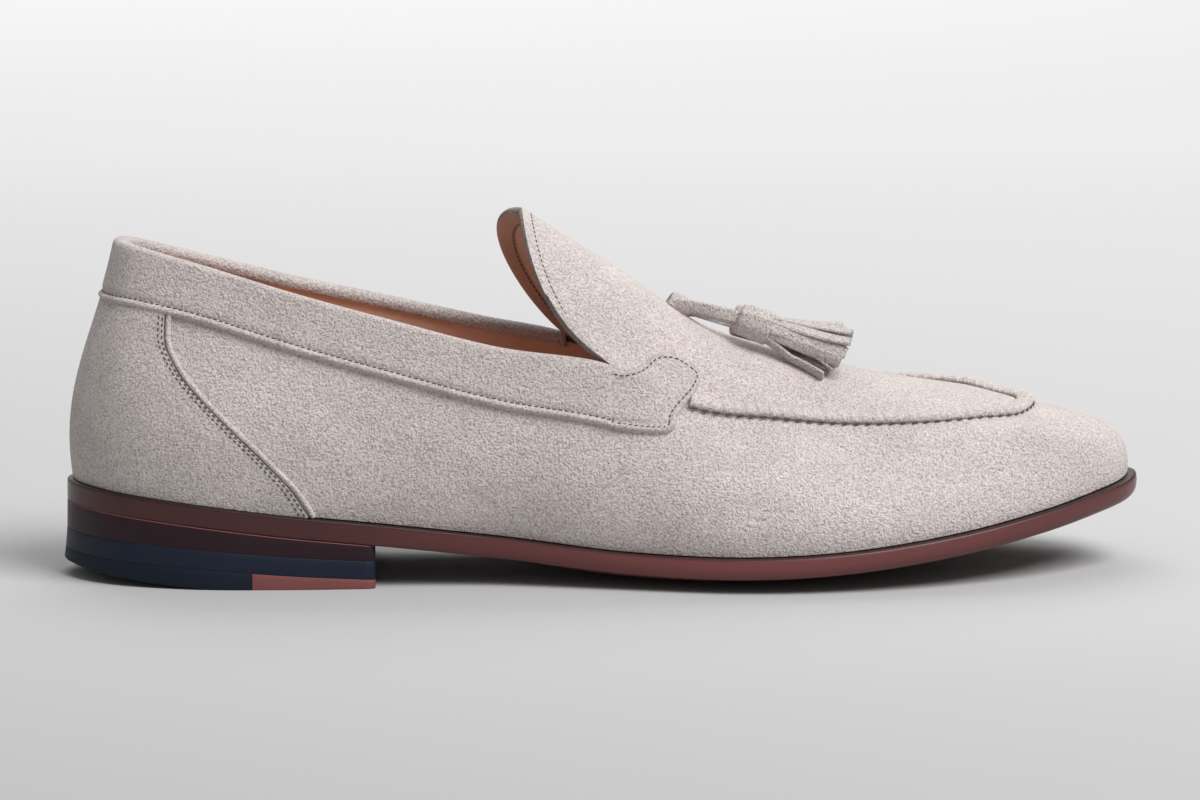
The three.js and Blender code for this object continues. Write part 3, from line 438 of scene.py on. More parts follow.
class Shade:
    """Builds a material's nodes, wired from left to right."""

    def __init__(self, name):
        self.material = bpy.data.materials.new(name)
        self.material.use_nodes = True
        self.tree = self.material.node_tree
        self.shader = self.tree.nodes["Principled BSDF"]

    def node(self, kind, **values):
        made = self.tree.nodes.new(kind)
        for name, value in values.items():
            setattr(made, name, value)
        return made

    def link(self, source, target):
        self.tree.links.new(source, target)

    def noise(self, scale, detail=2.0, roughness=0.5, stretch=None, source="Object"):
        """Noise on the object's own place in metres, stretched if asked."""
        place = self.node("ShaderNodeTexCoord").outputs[source]
        if stretch:
            mapping = self.node("ShaderNodeMapping")
            mapping.inputs["Scale"].default_value = stretch
            self.link(place, mapping.inputs["Vector"])
            place = mapping.outputs["Vector"]
        made = self.node("ShaderNodeTexNoise")
        made.inputs["Scale"].default_value = scale
        made.inputs["Detail"].default_value = detail
        made.inputs["Roughness"].default_value = roughness
        self.link(place, made.inputs["Vector"])
        return made.outputs["Fac"]

    def ramp(self, source, stops):
        """Grey levels of a value: (position, level) pairs, or (position, colour)."""
        made = self.node("ShaderNodeValToRGB")
        elements = made.color_ramp.elements
        while len(elements) < len(stops):
            elements.new(0.5)
        for element, (position, level) in zip(elements, stops):
            element.position = position
            level = (level,) * 3 if np.isscalar(level) else tuple(level)[:3]
            element.color = (*level, 1)
        self.link(source, made.inputs["Fac"])
        return made.outputs["Color"]

    def mix(self, share, first, second, how="MIX"):
        made = self.node("ShaderNodeMix", data_type="RGBA", blend_type=how)
        for index, value in ((0, share), (6, first), (7, second)):
            socket = made.inputs[index]
            if isinstance(value, bpy.types.NodeSocket):
                self.link(value, socket)
            elif index == 0:
                socket.default_value = value
            else:
                socket.default_value = (*tuple(value)[:3], 1)
        return made.outputs[2]

    def bump(self, layers):
        """One bump after another: (height, depth in metres) pairs."""
        last = None
        for height, depth in layers:
            made = self.node("ShaderNodeBump")
            made.inputs["Strength"].default_value = 1.0
            made.inputs["Distance"].default_value = depth
            self.link(height, made.inputs["Height"])
            if last:
                self.link(last, made.inputs["Normal"])
            last = made.outputs["Normal"]
        self.link(last, self.shader.inputs["Normal"])

    def set(self, **values):
        for name, value in values.items():
            socket = self.shader.inputs[name.replace("_", " ")]
            if isinstance(value, bpy.types.NodeSocket):
                self.link(value, socket)
            elif socket.type == "RGBA":
                socket.default_value = (*tuple(value)[:3], 1)
            else:
                socket.default_value = value


def scaled(colour, factor):
    return tuple(min(channel * factor, 1.0) for channel in tuple(colour)[:3])


def suede_material(name, colour, looks, depth=1.0):
    """Napped suede: mottled, brushed in patches, with a fine grain and a soft sheen."""
    shade = Shade(name)
    patches = shade.noise(34, 3, 0.55)
    brushed = shade.noise(120, 3, 0.6, stretch=(0.55, 1, 1))
    grain = shade.noise(1 / looks.nap_size, 3, 0.62)
    tufts = shade.noise(0.55 / looks.nap_size, 2, 0.6)
    mottle = looks.mottling
    tone = shade.mix(
        shade.ramp(patches, [(0.30, 0.0), (0.70, 1.0)]),
        scaled(colour, 1 - mottle), scaled(colour, 1 + mottle),
    )
    tone = shade.mix(0.55, tone, shade.mix(
        shade.ramp(brushed, [(0.30, 0.0), (0.72, 1.0)]),
        scaled(colour, 1 - 1.2 * mottle), scaled(colour, 1 + 1.1 * mottle),
    ))
    tone = shade.mix(
        shade.ramp(grain, [(0.30, 0.0), (0.60, 1.0)]),
        shade.mix(1.0, tone, (0.50, 0.47, 0.45), "MULTIPLY"), tone,
    )
    shade.set(
        Base_Color=tone,
        Roughness=0.96,
        Specular_IOR_Level=0.15,
        Sheen_Weight=looks.sheen,
        Sheen_Roughness=0.45,
        Sheen_Tint=(1.0, 0.97, 0.95),
    )
    nap = looks.nap_depth * depth
    shade.bump([(tufts, nap * 0.7), (grain, nap)])
    return shade.material


def leather_material(name, colour, rough=0.5, grain=0.0009, depth=0.00008, spread=0.12):
    """Smooth lining leather: a fine pebble and slight unevenness of colour."""
    shade = Shade(name)
    cloud = shade.noise(45, 3, 0.55)
    pebble = shade.noise(1 / grain, 2, 0.5)
    tone = shade.mix(
        shade.ramp(cloud, [(0.3, 0.0), (0.7, 1.0)]),
        scaled(colour, 1 - spread), scaled(colour, 1 + spread),
    )
    shade.set(Base_Color=tone, Roughness=rough, Specular_IOR_Level=0.35)
    shade.bump([(pebble, depth)])
    return shade.material


def edge_material(name, colour, rough, streaks=0.25, line=None, coat=0.0, painted_shade_tones=None):
    """A cut leather edge: streaks along it, and an optional line of another tone at its top, from UV. On
    the sole that line is dark, painted shade where the upper meets the sole; on the heel's lift it is
    lighter.

    painted_shade_tones are (place, share of the tone) from the heel's rest to the toe: painted shade
    that darkens the edge at the heel and toward the toe, where the lamps light it more than the shoe's
    own light falls.
    """
    shade = Shade(name)
    streak = shade.noise(1.0, 4, 0.65, stretch=(90, 2600, 1), source="UV")
    cloud = shade.noise(60, 3, 0.55)
    tone = shade.mix(
        shade.ramp(streak, [(0.28, 0.0), (0.72, 1.0)]),
        scaled(colour, 1 - streaks), scaled(colour, 1 + streaks),
    )
    tone = shade.mix(
        shade.ramp(cloud, [(0.35, 0.0), (0.7, 0.5)]), tone, scaled(colour, 1 - 0.6 * streaks),
    )
    # the line at the edge's top: on the sole a dark line of painted shade under the upper
    if line:
        height = shade.node("ShaderNodeSeparateXYZ")
        shade.link(shade.node("ShaderNodeTexCoord").outputs["UV"], height.inputs[0])
        at = shade.ramp(height.outputs["Y"], line[0])
        tone = shade.mix(at, tone, line[1])
    # painted shade along the sole: the tone darkened by place from the heel to the toe
    if painted_shade_tones:
        reach = shade.node("ShaderNodeSeparateXYZ")
        shade.link(shade.node("ShaderNodeTexCoord").outputs["Object"], reach.inputs[0])
        fore = shade.node("ShaderNodeMapRange")
        fore.inputs["From Min"].default_value = 0.0
        fore.inputs["From Max"].default_value = 0.23
        shade.link(reach.outputs["X"], fore.inputs["Value"])
        tone = shade.mix(1.0, tone, shade.ramp(fore.outputs["Result"], painted_shade_tones), "MULTIPLY")
    roughness = shade.ramp(streak, [(0.2, rough - 0.08), (0.8, rough + 0.1)])
    shade.set(
        Base_Color=tone, Roughness=roughness, Specular_IOR_Level=0.2,
        Coat_Weight=coat, Coat_Roughness=0.25,
    )
    shade.bump([(streak, 0.00005)])
    return shade.material


def thread_material(name, colour):
    """Waxed thread: a tight twist along each stitch."""
    shade = Shade(name)
    twist = shade.noise(3200, 2, 0.6)
    tone = shade.mix(
        shade.ramp(twist, [(0.3, 0.0), (0.7, 1.0)]), scaled(colour, 0.7), scaled(colour, 1.2),
    )
    shade.set(Base_Color=tone, Roughness=0.75)
    shade.bump([(twist, 0.00006)])
    return shade.material


class LoaferLooks(bpy.types.PropertyGroup):
    """Colours and surface of the loafer's materials"""

    suede: bpy.props.FloatVectorProperty(
        name="Suede", description="Colour of the suede's face", subtype="COLOR",
        size=3, min=0, max=1, default=(0.755, 0.680, 0.658),
    )
    raw_edge: bpy.props.FloatVectorProperty(
        name="Raw edge", description="Colour of the tongue's cut edge", subtype="COLOR",
        size=3, min=0, max=1, default=(0.330, 0.275, 0.250),
    )
    lining: bpy.props.FloatVectorProperty(
        name="Lining", description="Colour of the lining leather", subtype="COLOR",
        size=3, min=0, max=1, default=(0.700, 0.425, 0.315),
    )
    sole: bpy.props.FloatVectorProperty(
        name="Sole edge", description="Colour of the outsole's edge", subtype="COLOR",
        size=3, min=0, max=1, default=(0.180, 0.054, 0.052),
    )
    lift: bpy.props.FloatVectorProperty(
        name="Heel lift", description="Colour of the brown lift", subtype="COLOR",
        size=3, min=0, max=1, default=(0.022, 0.0085, 0.0135),
    )
    navy: bpy.props.FloatVectorProperty(
        name="Heel block", description="Colour of the dark blue layers", subtype="COLOR",
        size=3, min=0, max=1, default=(0.0080, 0.0130, 0.028),
    )
    insert: bpy.props.FloatVectorProperty(
        name="Heel insert", description="Colour of the leather in the top piece", subtype="COLOR",
        size=3, min=0, max=1, default=(0.190, 0.064, 0.060),
    )
    # The thread's dark colour is partly the thread's own and partly painted shade of the stitch holes.
    thread: bpy.props.FloatVectorProperty(
        name="Thread", description="Colour of the stitches", subtype="COLOR",
        size=3, min=0, max=1, default=(0.085, 0.068, 0.062),
    )
    nap_size: bpy.props.FloatProperty(
        name="Nap size", description="Width of one tuft of the nap",
        unit="LENGTH", default=0.00062, min=0.0001, max=0.003, precision=5,
    )
    nap_depth: bpy.props.FloatProperty(
        name="Nap depth", description="Depth of the nap's relief",
        unit="LENGTH", default=0.00085, min=0, max=0.001, precision=5,
    )
    mottling: bpy.props.FloatProperty(
        name="Mottling", description="How far patches of nap differ in tone",
        subtype="FACTOR", default=0.10, min=0, max=0.5,
    )
    sheen: bpy.props.FloatProperty(
        name="Sheen", description="Strength of the light that the nap catches at its edge",
        subtype="FACTOR", default=0.35, min=0, max=1,
    )


class LoaferSizes(bpy.types.PropertyGroup):
    """Sizes of the trim, in millimetres on the shoe"""

    band_stand: bpy.props.FloatProperty(
        name="Band stand", description="How far the collar band stands off the wall, in mm",
        default=1.4, min=0.5, max=3,
    )
    counter_stand: bpy.props.FloatProperty(
        name="Counter stand", description="How far the heel counter stands off the wall, in mm",
        default=1.0, min=0.3, max=2,
    )
    piping_radius: bpy.props.FloatProperty(
        name="Piping radius", description="Radius of the counter's piping, in mm",
        default=0.8, min=0.3, max=2,
    )
    ridge_height: bpy.props.FloatProperty(
        name="Seam height", description="Height of the apron seam's rolled lip, in mm",
        default=2.7, min=0.5, max=4,
    )
    stitch_pitch: bpy.props.FloatProperty(
        name="Stitch pitch", description="Distance between machine stitches, in mm",
        default=1.7, min=1, max=5,
    )
    hand_pitch: bpy.props.FloatProperty(
        name="Hand stitch pitch", description="Distance between the apron's stitches, in mm",
        default=3.3, min=1, max=8,
    )
    strips: bpy.props.IntProperty(
        name="Tassel strips", description="Strips in each tassel", default=16, min=4, max=16,
    )


def looks():
    return bpy.context.scene.loafer_looks


def sizes():
    return bpy.context.scene.loafer_sizes


def suede(kind="face"):
    """The shared suede, made once for each kind of surface; the counter, band and tassel get darker
    copies of it, painted shade where less light falls on them.
    """
    # darker copies of one suede: painted shade on the counter, band and tassel
    shade_factors = {"face": 1.0, "counter": 0.94, "band": 0.92, "tassel": 0.94, "seam": 1.0}
    name = "suede_" + kind
    found = bpy.data.materials.get(name)
    if found:
        return found
    depth = 1.2 if kind == "tassel" else 1.0
    return suede_material(name, scaled(looks().suede, shade_factors[kind]), looks(), depth)


class LOAFER_OT_upper(bpy.types.Operator):
    """Make the suede wall, the apron with its tongue, and the tongue's cut edge"""

    bl_idname = "loafer.upper"
    bl_label = "Make upper"

    def execute(self, context):
        places = np.linspace(0, LOOP, LOOP * 16, endpoint=False)[:, None]
        top = share_below_rim(places, 1.4)
        behind = np.clip((THROAT - station_of(places)) * 4, 0, 1)
        top = 1 + (top - 1) * behind
        shares = np.linspace(0, 1, 41)[None] * top
        add_piece(
            "upper_wall", wall_point(places, shares), grid_faces(LOOP * 16, 41, True),
            suede(), ("upper",),
        )
        columns = np.linspace(THROAT, TOE, 141)[:, None]
        rows = np.linspace(0, 1, 33)[None]
        lateral = apron_point(columns, rows)
        medial = apron_point(LOOP - columns, rows)[:, ::-1]
        surface = np.concatenate([lateral, medial[:, 1:]], axis=1)
        add_piece(
            "upper_apron", surface, grid_faces(*surface.shape[:2]), suede(),
            merge=True,
        )
        edge = tongue_edge()
        add_piece(
            "tongue_edge", edge, grid_faces(*edge.shape[:2]),
            suede_material("raw_suede", looks().raw_edge, looks(), 1.3),
        )
        return {"FINISHED"}


def tongue_sheet(depth):
    """The tongue's free edge at a depth under its face, from one throat corner to the other."""
    rows = np.linspace(0, 1, 49)
    lateral = apron_point(THROAT, rows) - depth * normal_of(apron_point, THROAT, rows)
    medial_place = LOOP - THROAT
    medial = apron_point(medial_place, rows) - depth * normal_of(apron_point, medial_place, rows)
    return np.concatenate([lateral[:-1], medial[::-1]])


def tongue_edge():
    """The cut edge: a slightly rounded strip from the tongue's face to its lining."""
    face = tongue_sheet(0.0)
    lining = tongue_sheet(WALL)
    back = unit(np.cross(unit(lining - face), np.gradient(face, axis=0)))
    share = np.linspace(0, 1, 7)[:, None]
    bulge = 0.35 * np.sin(np.pi * share)
    strip = face[:, None] * (1 - share) + lining[:, None] * share
    strip = strip + back[:, None] * bulge * tongue_edge_side(face, back)
    return strip[:, ::-1]


def tongue_edge_side(face, back):
    """1 or -1, so that the edge bulges to the back of the shoe."""
    return -np.sign(back[:, 0].sum())


class LOAFER_OT_lining(bpy.types.Operator):
    """Make the leather lining of wall and tongue, and the sock on the insole"""

    bl_idname = "loafer.lining"
    bl_label = "Make lining"

    def execute(self, context):
        material = leather_material("lining_leather", looks().lining, 0.62)
        places = np.linspace(0, LOOP, LOOP * 12, endpoint=False)[:, None]
        shares = np.linspace(0.02, 1, 25)[None] * share_below_rim(places, 2.0)
        wall = over_wall(places, shares, -WALL * np.ones(shares.shape))
        add_piece(
            "lining_wall", wall[:, ::-1], grid_faces(LOOP * 12, 25, True), material,
        )
        columns = np.linspace(THROAT, TOE - 0.4, 71)[:, None]
        rows = np.linspace(0, 1, 25)[None]
        lateral = apron_point(columns, rows) - WALL * normal_of(apron_point, columns, rows)
        opposite = LOOP - columns
        medial = apron_point(opposite, rows) - WALL * normal_of(apron_point, opposite, rows)
        surface = np.concatenate([lateral, medial[:, ::-1][:, 1:]], axis=1)
        add_piece(
            "lining_tongue", surface[:, ::-1], grid_faces(*surface.shape[:2]), material,
        )
        columns = THROAT + np.linspace(0.0, 0.18, 9)[:, None]
        depth = (WALL + np.array([0.0, 0.2, 0.3, 0.3, 0.3, 0.3, 0.3, 0.2, -0.1]))[:, None, None]
        lateral = apron_point(columns, rows) - depth * normal_of(apron_point, columns, rows)
        opposite = LOOP - columns
        medial = apron_point(opposite, rows) - depth * normal_of(apron_point, opposite, rows)
        facing = np.concatenate([lateral, medial[:, ::-1][:, 1:]], axis=1)
        add_piece(
            "tongue_facing", facing[:, ::-1], grid_faces(*facing.shape[:2]),
            leather_material("facing_leather", scaled(looks().lining, 0.70), 0.7),
        )
        columns = np.linspace(0.04, TOE - 0.04, 120)[:, None]
        margin = -(WALL + FEATHER_INSET + 2 * GAP)
        lateral = foot_line(columns) + outward(foot_line, columns) * margin
        medial = foot_line(LOOP - columns) + outward(foot_line, LOOP - columns) * margin
        across = np.linspace(0, 1, 25)[None, :, None]
        sock = lateral * (1 - across) + medial * across
        dish = 1 - (2 * across[..., 0] - 1) ** 8
        sock[..., 2] = seat_height(sock[..., 0]) + GAP + 3.0 - 0.6 + 0.6 * (1 - dish)
        add_piece(
            "insole_sock", sock, grid_faces(*sock.shape[:2]), material, ("insole",),
        )
        return {"FINISHED"}


def seat_height(x):
    """Height of the outsole's upper face, from the sole line's own height."""
    samples = foot_line(np.linspace(0, TOE, 225))
    return np.interp(x, samples[:, 0], samples[:, 2]) - GAP


class LOAFER_OT_band(bpy.types.Operator):
    """Make the folded collar band, its rolled topline and the tab at each end"""

    bl_idname = "loafer.band"
    bl_label = "Make collar band"

    def execute(self, context):
        stand = sizes().band_stand
        places = np.linspace(-THROAT, THROAT, 2 * THROAT * 20 + 1)[:, None]
        drop = along_loop(DROP_LOOP, places)
        inside = np.concatenate([
            np.linspace(-0.6, 3.6, 29), np.linspace(4.2, 11.0, 8),
        ])[None]
        share = share_below_rim(places, drop - inside)
        face = over_wall(places, share, beaded_edge(inside, stand))
        top = share_below_rim(places, 1.6)
        rim = wall_point(places, top)
        normal = normal_of(wall_point, places, top)
        rise = unit(rim - wall_point(places, top - 0.03))
        turn = np.linspace(0, np.pi, 17)[None, :, None]
        half = (stand + WALL + 1.4) / 2
        centre = stand - half
        roll = rim + normal * (centre + half * np.cos(turn)) + rise * 1.75 * np.sin(turn)
        depth = np.array([0.5, 1.1, 1.6, 1.9, 2.0])[None]
        lower = share_below_rim(places, 1.6 + depth)
        inner = over_wall(places, lower, (centre - half) + np.array([0, 0.1, 0.3, 0.8, 1.5])[None])
        surface = np.concatenate([face, roll, inner], axis=1)
        middle = np.repeat(surface[:, 36:53].mean(axis=1, keepdims=True), surface.shape[1], axis=1)
        surface = np.concatenate([middle[:1], surface, middle[-1:]])
        add_piece(
            "collar_band", surface, grid_faces(*surface.shape[:2]), suede("band"),
            ("collar_band",),
        )
        for side, name in ((-1, "tab_lateral"), (1, "tab_medial")):
            points, faces = tab_surface(side, stand)
            add_piece(name, points, faces, suede("band"))
        return {"FINISHED"}


def throat_corner(side):
    return rim_point(np.array(float(THROAT if side < 0 else LOOP - THROAT)))


def inside_outline(points, outline):
    """Signed distance to a closed outline in the side view: positive inside it."""
    start = outline
    run = np.roll(outline, -1, axis=0) - outline
    flat = points[..., (0, 2)].reshape(-1, 1, 2)
    share = np.clip(((flat - start) * run).sum(-1) / (run ** 2).sum(-1), 0, 1)
    distance = np.linalg.norm(flat - start - share[..., None] * run, axis=-1).min(axis=1)
    x, z = flat[..., 0], flat[..., 1]
    low, high = start[:, 1], start[:, 1] + run[:, 1]
    crosses = (low > z) != (high > z)
    safe = np.where(run[:, 1] == 0, 1e-9, run[:, 1])
    hit = crosses & (x < start[:, 0] + (z - low) * run[:, 0] / safe)
    inside = hit.sum(axis=1) % 2 == 1
    return np.where(inside, distance, -distance).reshape(points.shape[:-1])


def smooth_outline(outline, count=400):
    """The outline through its corners as a closed Catmull-Rom curve."""
    place = np.linspace(0, len(outline), count, endpoint=False)
    index = np.floor(place).astype(int)
    return spline(outline, index, place - index)


def throat_sheet(side, columns=251, rows=70):
    """The face beside the throat, over wall and apron, with the crease between them eased."""
    station = np.linspace(THROAT, THROAT + 3.2, columns)[:, None]
    place = station if side < 0 else LOOP - station
    low = share_below_rim(place, 26.0)
    wall = wall_point(place, low + (1 - low) * np.linspace(0, 1, rows)[None])
    fore = np.maximum(station, THROAT)
    over = fore if side < 0 else LOOP - fore
    apron = apron_point(over, np.linspace(0, 0.62, rows)[None])
    sheet = np.concatenate([wall, apron[:, 1:]], axis=1)
    for _ in range(12):
        sheet[:, 1:-1] = (sheet[:, :-2] + 2 * sheet[:, 1:-1] + sheet[:, 2:]) / 4
    return sheet


def sheet_normals(sheet, side):
    slope = np.cross(np.gradient(sheet, axis=0), np.gradient(sheet, axis=1))
    return unit(slope) * (1 if side < 0 else -1)


def tab_height(height, inside, corner, stand):
    """Height of the tab: beaded along its lower and front edge, plainly cut along its top."""
    low = np.clip((corner[2] - 4 - height) / 8, 0, 1)
    return low * beaded_edge(inside, stand) + (1 - low) * folded_edge(inside, 0.85 * stand, 0.7)


def tab_surface(side, stand):
    """The tab: the face beside the throat raised inside the tab's outline."""
    sheet = throat_sheet(side)
    corner = throat_corner(side)
    outline = smooth_outline(TAB + corner[[0, 2]])
    inside = inside_outline(sheet, outline)
    height = tab_height(sheet[..., 2], inside, corner, stand)
    raised = sheet + sheet_normals(sheet, side) * height[..., None]
    faces = grid_faces(*sheet.shape[:2])
    if side > 0:
        faces = faces[:, ::-1]
    kept = faces[(inside.reshape(-1)[faces] > -0.9).all(axis=1)]
    used, where = np.unique(kept, return_inverse=True)
    return raised.reshape(-1, 3)[used], where.reshape(kept.shape)


class LOAFER_OT_counter(bpy.types.Operator):
    """Make the heel counter and the piping along its front edges"""

    bl_idname = "loafer.counter"
    bl_label = "Make heel counter"

    def execute(self, context):
        stand = sizes().counter_stand
        height = np.linspace(0, 0.84, 42)[None]
        front = np.interp(height, COUNTER[:, 0], COUNTER[:, 1])
        ends = 1 - np.geomspace(0.002, 1, 60)
        across = np.concatenate([-ends, ends[::-1][1:]])[:, None]
        place = across * front
        inside = (1 - np.abs(across)) * front * 24 - 0.5
        share = np.minimum(height + 0 * place, share_below_rim(place, 11.5))
        surface = over_wall(place, share, folded_edge(inside, stand, 0.9))
        add_piece(
            "heel_counter", surface, grid_faces(*surface.shape[:2]), suede("counter"),
            ("heel_counter",),
        )
        for side, name in ((-1, "lateral"), (1, "medial")):
            path, normal = counter_line(side, 0.045)
            radius = sizes().piping_radius
            run = unit(np.gradient(path, axis=0))
            across = unit(np.cross(normal, run))
            angle = np.arange(10) * np.pi / 5
            ring = radius * np.stack([np.cos(angle), np.sin(angle)], axis=-1)
            points, faces = sweep(path + normal * 0.5 * radius, across, normal, ring)
            add_piece(
                "piping_" + name, points, faces, suede("seam"),
                ("counter_piping_" + name,),
            )
        return {"FINISHED"}


def counter_line(side, ahead, top=0.80):
    """A line beside the counter's front edge, some stations ahead of it, with its normals."""
    height = np.linspace(0.0, top, 90)
    front = np.interp(height, COUNTER[:, 0], COUNTER[:, 1])
    kernel = np.ones(9) / 9
    front = np.convolve(np.pad(front, 4, mode="edge"), kernel, mode="valid")
    place = -side * (front + ahead)
    return wall_point(place, height), normal_of(wall_point, place, height)


class LOAFER_OT_seam(bpy.types.Operator):
    """Make the apron's raised, hand-sewn seam"""

    bl_idname = "loafer.seam"
    bl_label = "Make apron seam"

    def execute(self, context):
        path, across, normal = seam_frame()
        lengths = arc_lengths(path)
        pucker = 1 + 0.07 * np.cos(2 * np.pi * lengths / sizes().hand_pitch)
        height = sizes().ridge_height * pucker
        turn = np.linspace(0, 2 * np.pi, 21)[:-1]
        side = np.where(np.cos(turn) < 0, 1.65, 3.4) * np.cos(turn)
        profile = np.stack([
            np.repeat(side[None], len(path), axis=0),
            np.outer(height, 0.5 + 0.5 * np.sin(turn)) - 0.5,
        ], axis=-1)
        points, faces = sweep(path, across, normal, profile)
        add_piece(
            "apron_seam", points, faces[:, ::-1], suede("seam"), ("apron_seam",),
        )
        return {"FINISHED"}


def seam_frame():
    """The seam's line round the apron: points, the way to the apron, and the normal."""
    place = np.linspace(THROAT + 0.95, LOOP - THROAT - 0.95, 721)
    path = rim_point(place)
    run = unit(np.gradient(path, axis=0))
    wall = normal_of(wall_point, place, 0.985)
    kernel = np.hanning(41)
    kernel /= kernel.sum()
    normal = unit(unit(wall * (1, 1, 1)) + 0.9 * UP)
    padded = np.pad(normal, ((20, 20), (0, 0)), mode="edge")
    normal = np.stack([np.convolve(padded[:, i], kernel, mode="valid") for i in range(3)], -1)
    across = unit(np.cross(run, normal))
    inward = np.array([200.0, 0.0, 50.0]) - path
    if (across * inward).sum() < 0:
        across = -across
    normal = unit(normal - (normal * run).sum(-1, keepdims=True) * run)
    return path, across, normal


class LOAFER_OT_stitches(bpy.types.Operator):
    """Make every row of stitches: band, tabs, counter, apron seam and tongue"""

    bl_idname = "loafer.stitches"
    bl_label = "Make stitches"

    def execute(self, context):
        pitch = sizes().stitch_pitch
        stand = sizes().band_stand
        rows = []
        place = np.linspace(-THROAT, THROAT, 900)
        share = share_below_rim(place, along_loop(DROP_LOOP, place) - 2.05)
        normal = normal_of(wall_point, place, share)
        path = wall_point(place, share) + normal * beaded_edge(2.05, stand)
        rows.append(stitch_row(path, normal, pitch, 1.15, 0.24, 0.12, 0.0))
        for side in (-1, 1):
            path, normal = tab_stitch_path(side, stand)
            rows.append(stitch_row(path, normal, pitch, 1.15, 0.24, 0.12, 0.04))
            for ahead in (-0.045, -0.105):
                path, normal = counter_line(side, ahead, 0.79)
                path = path + normal * sizes().counter_stand
                rows.append(stitch_row(path, normal, pitch, 1.05, 0.23, 0.1, 0.04))
        for place, depth in ((THROAT + 0.10, 0.0), (THROAT + 0.15, -WALL - 0.3)):
            rows.append(tongue_stitches(place, depth, pitch))
        points, faces = join_parts(rows)
        material = thread_material("thread", looks().thread)
        add_piece("stitches_machine", points, faces, material)
        path, across, normal = seam_frame()
        line = path - across * 1.75 + normal * 0.12
        leaning = unit(normal - 0.8 * across)
        # hand stitches in the dark thread: partly painted shade in the holes and the crease under the
        # seam
        points, faces = stitch_row(line, leaning, sizes().hand_pitch, 1.9, 0.24, 0.2, 0.0)
        hand = thread_material("thread_hand", looks().thread)
        add_piece("stitches_hand", points, faces, hand)
        return {"FINISHED"}


def tongue_stitches(place, depth, pitch):
    """A row along the tongue's edge, on its face or on its lining."""
    share = np.linspace(0.10, 1, 160)
    lateral = apron_point(place, share), normal_of(apron_point, place, share)
    medial = apron_point(LOOP - place, share), normal_of(apron_point, LOOP - place, share)
    path = np.concatenate([lateral[0], medial[0][-2::-1]])
    normal = np.concatenate([lateral[1], medial[1][-2::-1]])
    out = 1 if depth == 0 else -1
    return stitch_row(path + normal * depth, normal * out, pitch, 1.2, 0.2, 0.1, 0.04)


def tab_stitch_path(side, stand):
    """The stitch line inside the tab's edge, laid on the tab's face."""
    sheet = throat_sheet(side, 181, 56)
    corner = throat_corner(side)
    outline = smooth_outline(TAB + corner[[0, 2]], 1200)
    inside = inside_outline(sheet, outline)
    normals = sheet_normals(sheet, side)
    height = tab_height(sheet[..., 2], inside, corner, stand)
    raised = sheet + normals * height[..., None]
    run = unit(np.gradient(outline, axis=0))
    low = np.clip((corner[2] - 4 - outline[:, 1]) / 8, 0, 1)[:, None]
    inset = outline + (0.9 + 1.15 * low) * np.stack([run[:, 1], -run[:, 0]], axis=-1)
    ahead = inset[:, 0] - corner[0]
    kept = inset[ahead > 0.4]
    flat = raised[..., (0, 2)].reshape(-1, 2)
    nearest = ((kept[:, None] - flat[None]) ** 2).sum(-1).argmin(axis=1)
    path = raised.reshape(-1, 3)[nearest]
    kernel = np.ones(9) / 9
    depth = np.convolve(np.pad(path[:, 1], 4, mode="edge"), kernel, mode="valid")
    path = np.stack([kept[:, 0], depth, kept[:, 1]], axis=-1)
    return path, normals.reshape(-1, 3)[nearest]


class LOAFER_OT_sole(bpy.types.Operator):
    """Make the outsole with its rounded edge"""

    bl_idname = "loafer.sole"
    bl_label = "Make outsole"

    def execute(self, context):
        surface, uv = outsole_surface()
        material = edge_material(
            "sole_edge", looks().sole, 0.36, 0.22,
            # a dark line at the edge's top: painted shade in the crease where the upper meets the sole
            ([(0.0, 0.0), (0.84, 0.0), (0.95, 0.8), (1.0, 1.0)], scaled(looks().sole, 0.2)),
            # painted shade: the sole's edge darkened at the heel and toward the toe
            coat=0.30, painted_shade_tones=[(0.0, 0.34), (0.45, 1.0), (0.62, 0.85), (1.0, 0.55)],
        )
        faces = grid_faces(*surface.shape[:2], wrap_rows=True)
        add_piece(
            "outsole", surface, faces, material, ("outsole",), uv, merge=True,
        )
        return {"FINISHED"}


EDGE_PROFILE = np.array([
    (-3.0, 0.0), (0.3, 0.0), (0.9, 0.05), (1.28, 0.2), (1.5, 0.45), (1.63, 0.8), (1.7, 1.2),
    (1.74, 1.6), (1.76, 2.0), (1.76, 2.5), (1.74, 3.0), (1.68, 3.5), (1.58, 4.0), (1.42, 4.5),
    (1.2, 4.95), (0.88, 5.4), (0.45, 5.8), (-0.3, 6.0),
])


FLAT_PROFILE = np.clip(np.interp(
    EDGE_PROFILE[:, 1], [0.0, 0.1, 0.4, 5.6, 5.9, 6.0], [0.9, 1.35, 1.65, 1.7, 1.6, 1.3],
), None, np.where(np.arange(18) < 2, EDGE_PROFILE[:, 0], 9))
FLAT_PROFILE[-1] = -0.3


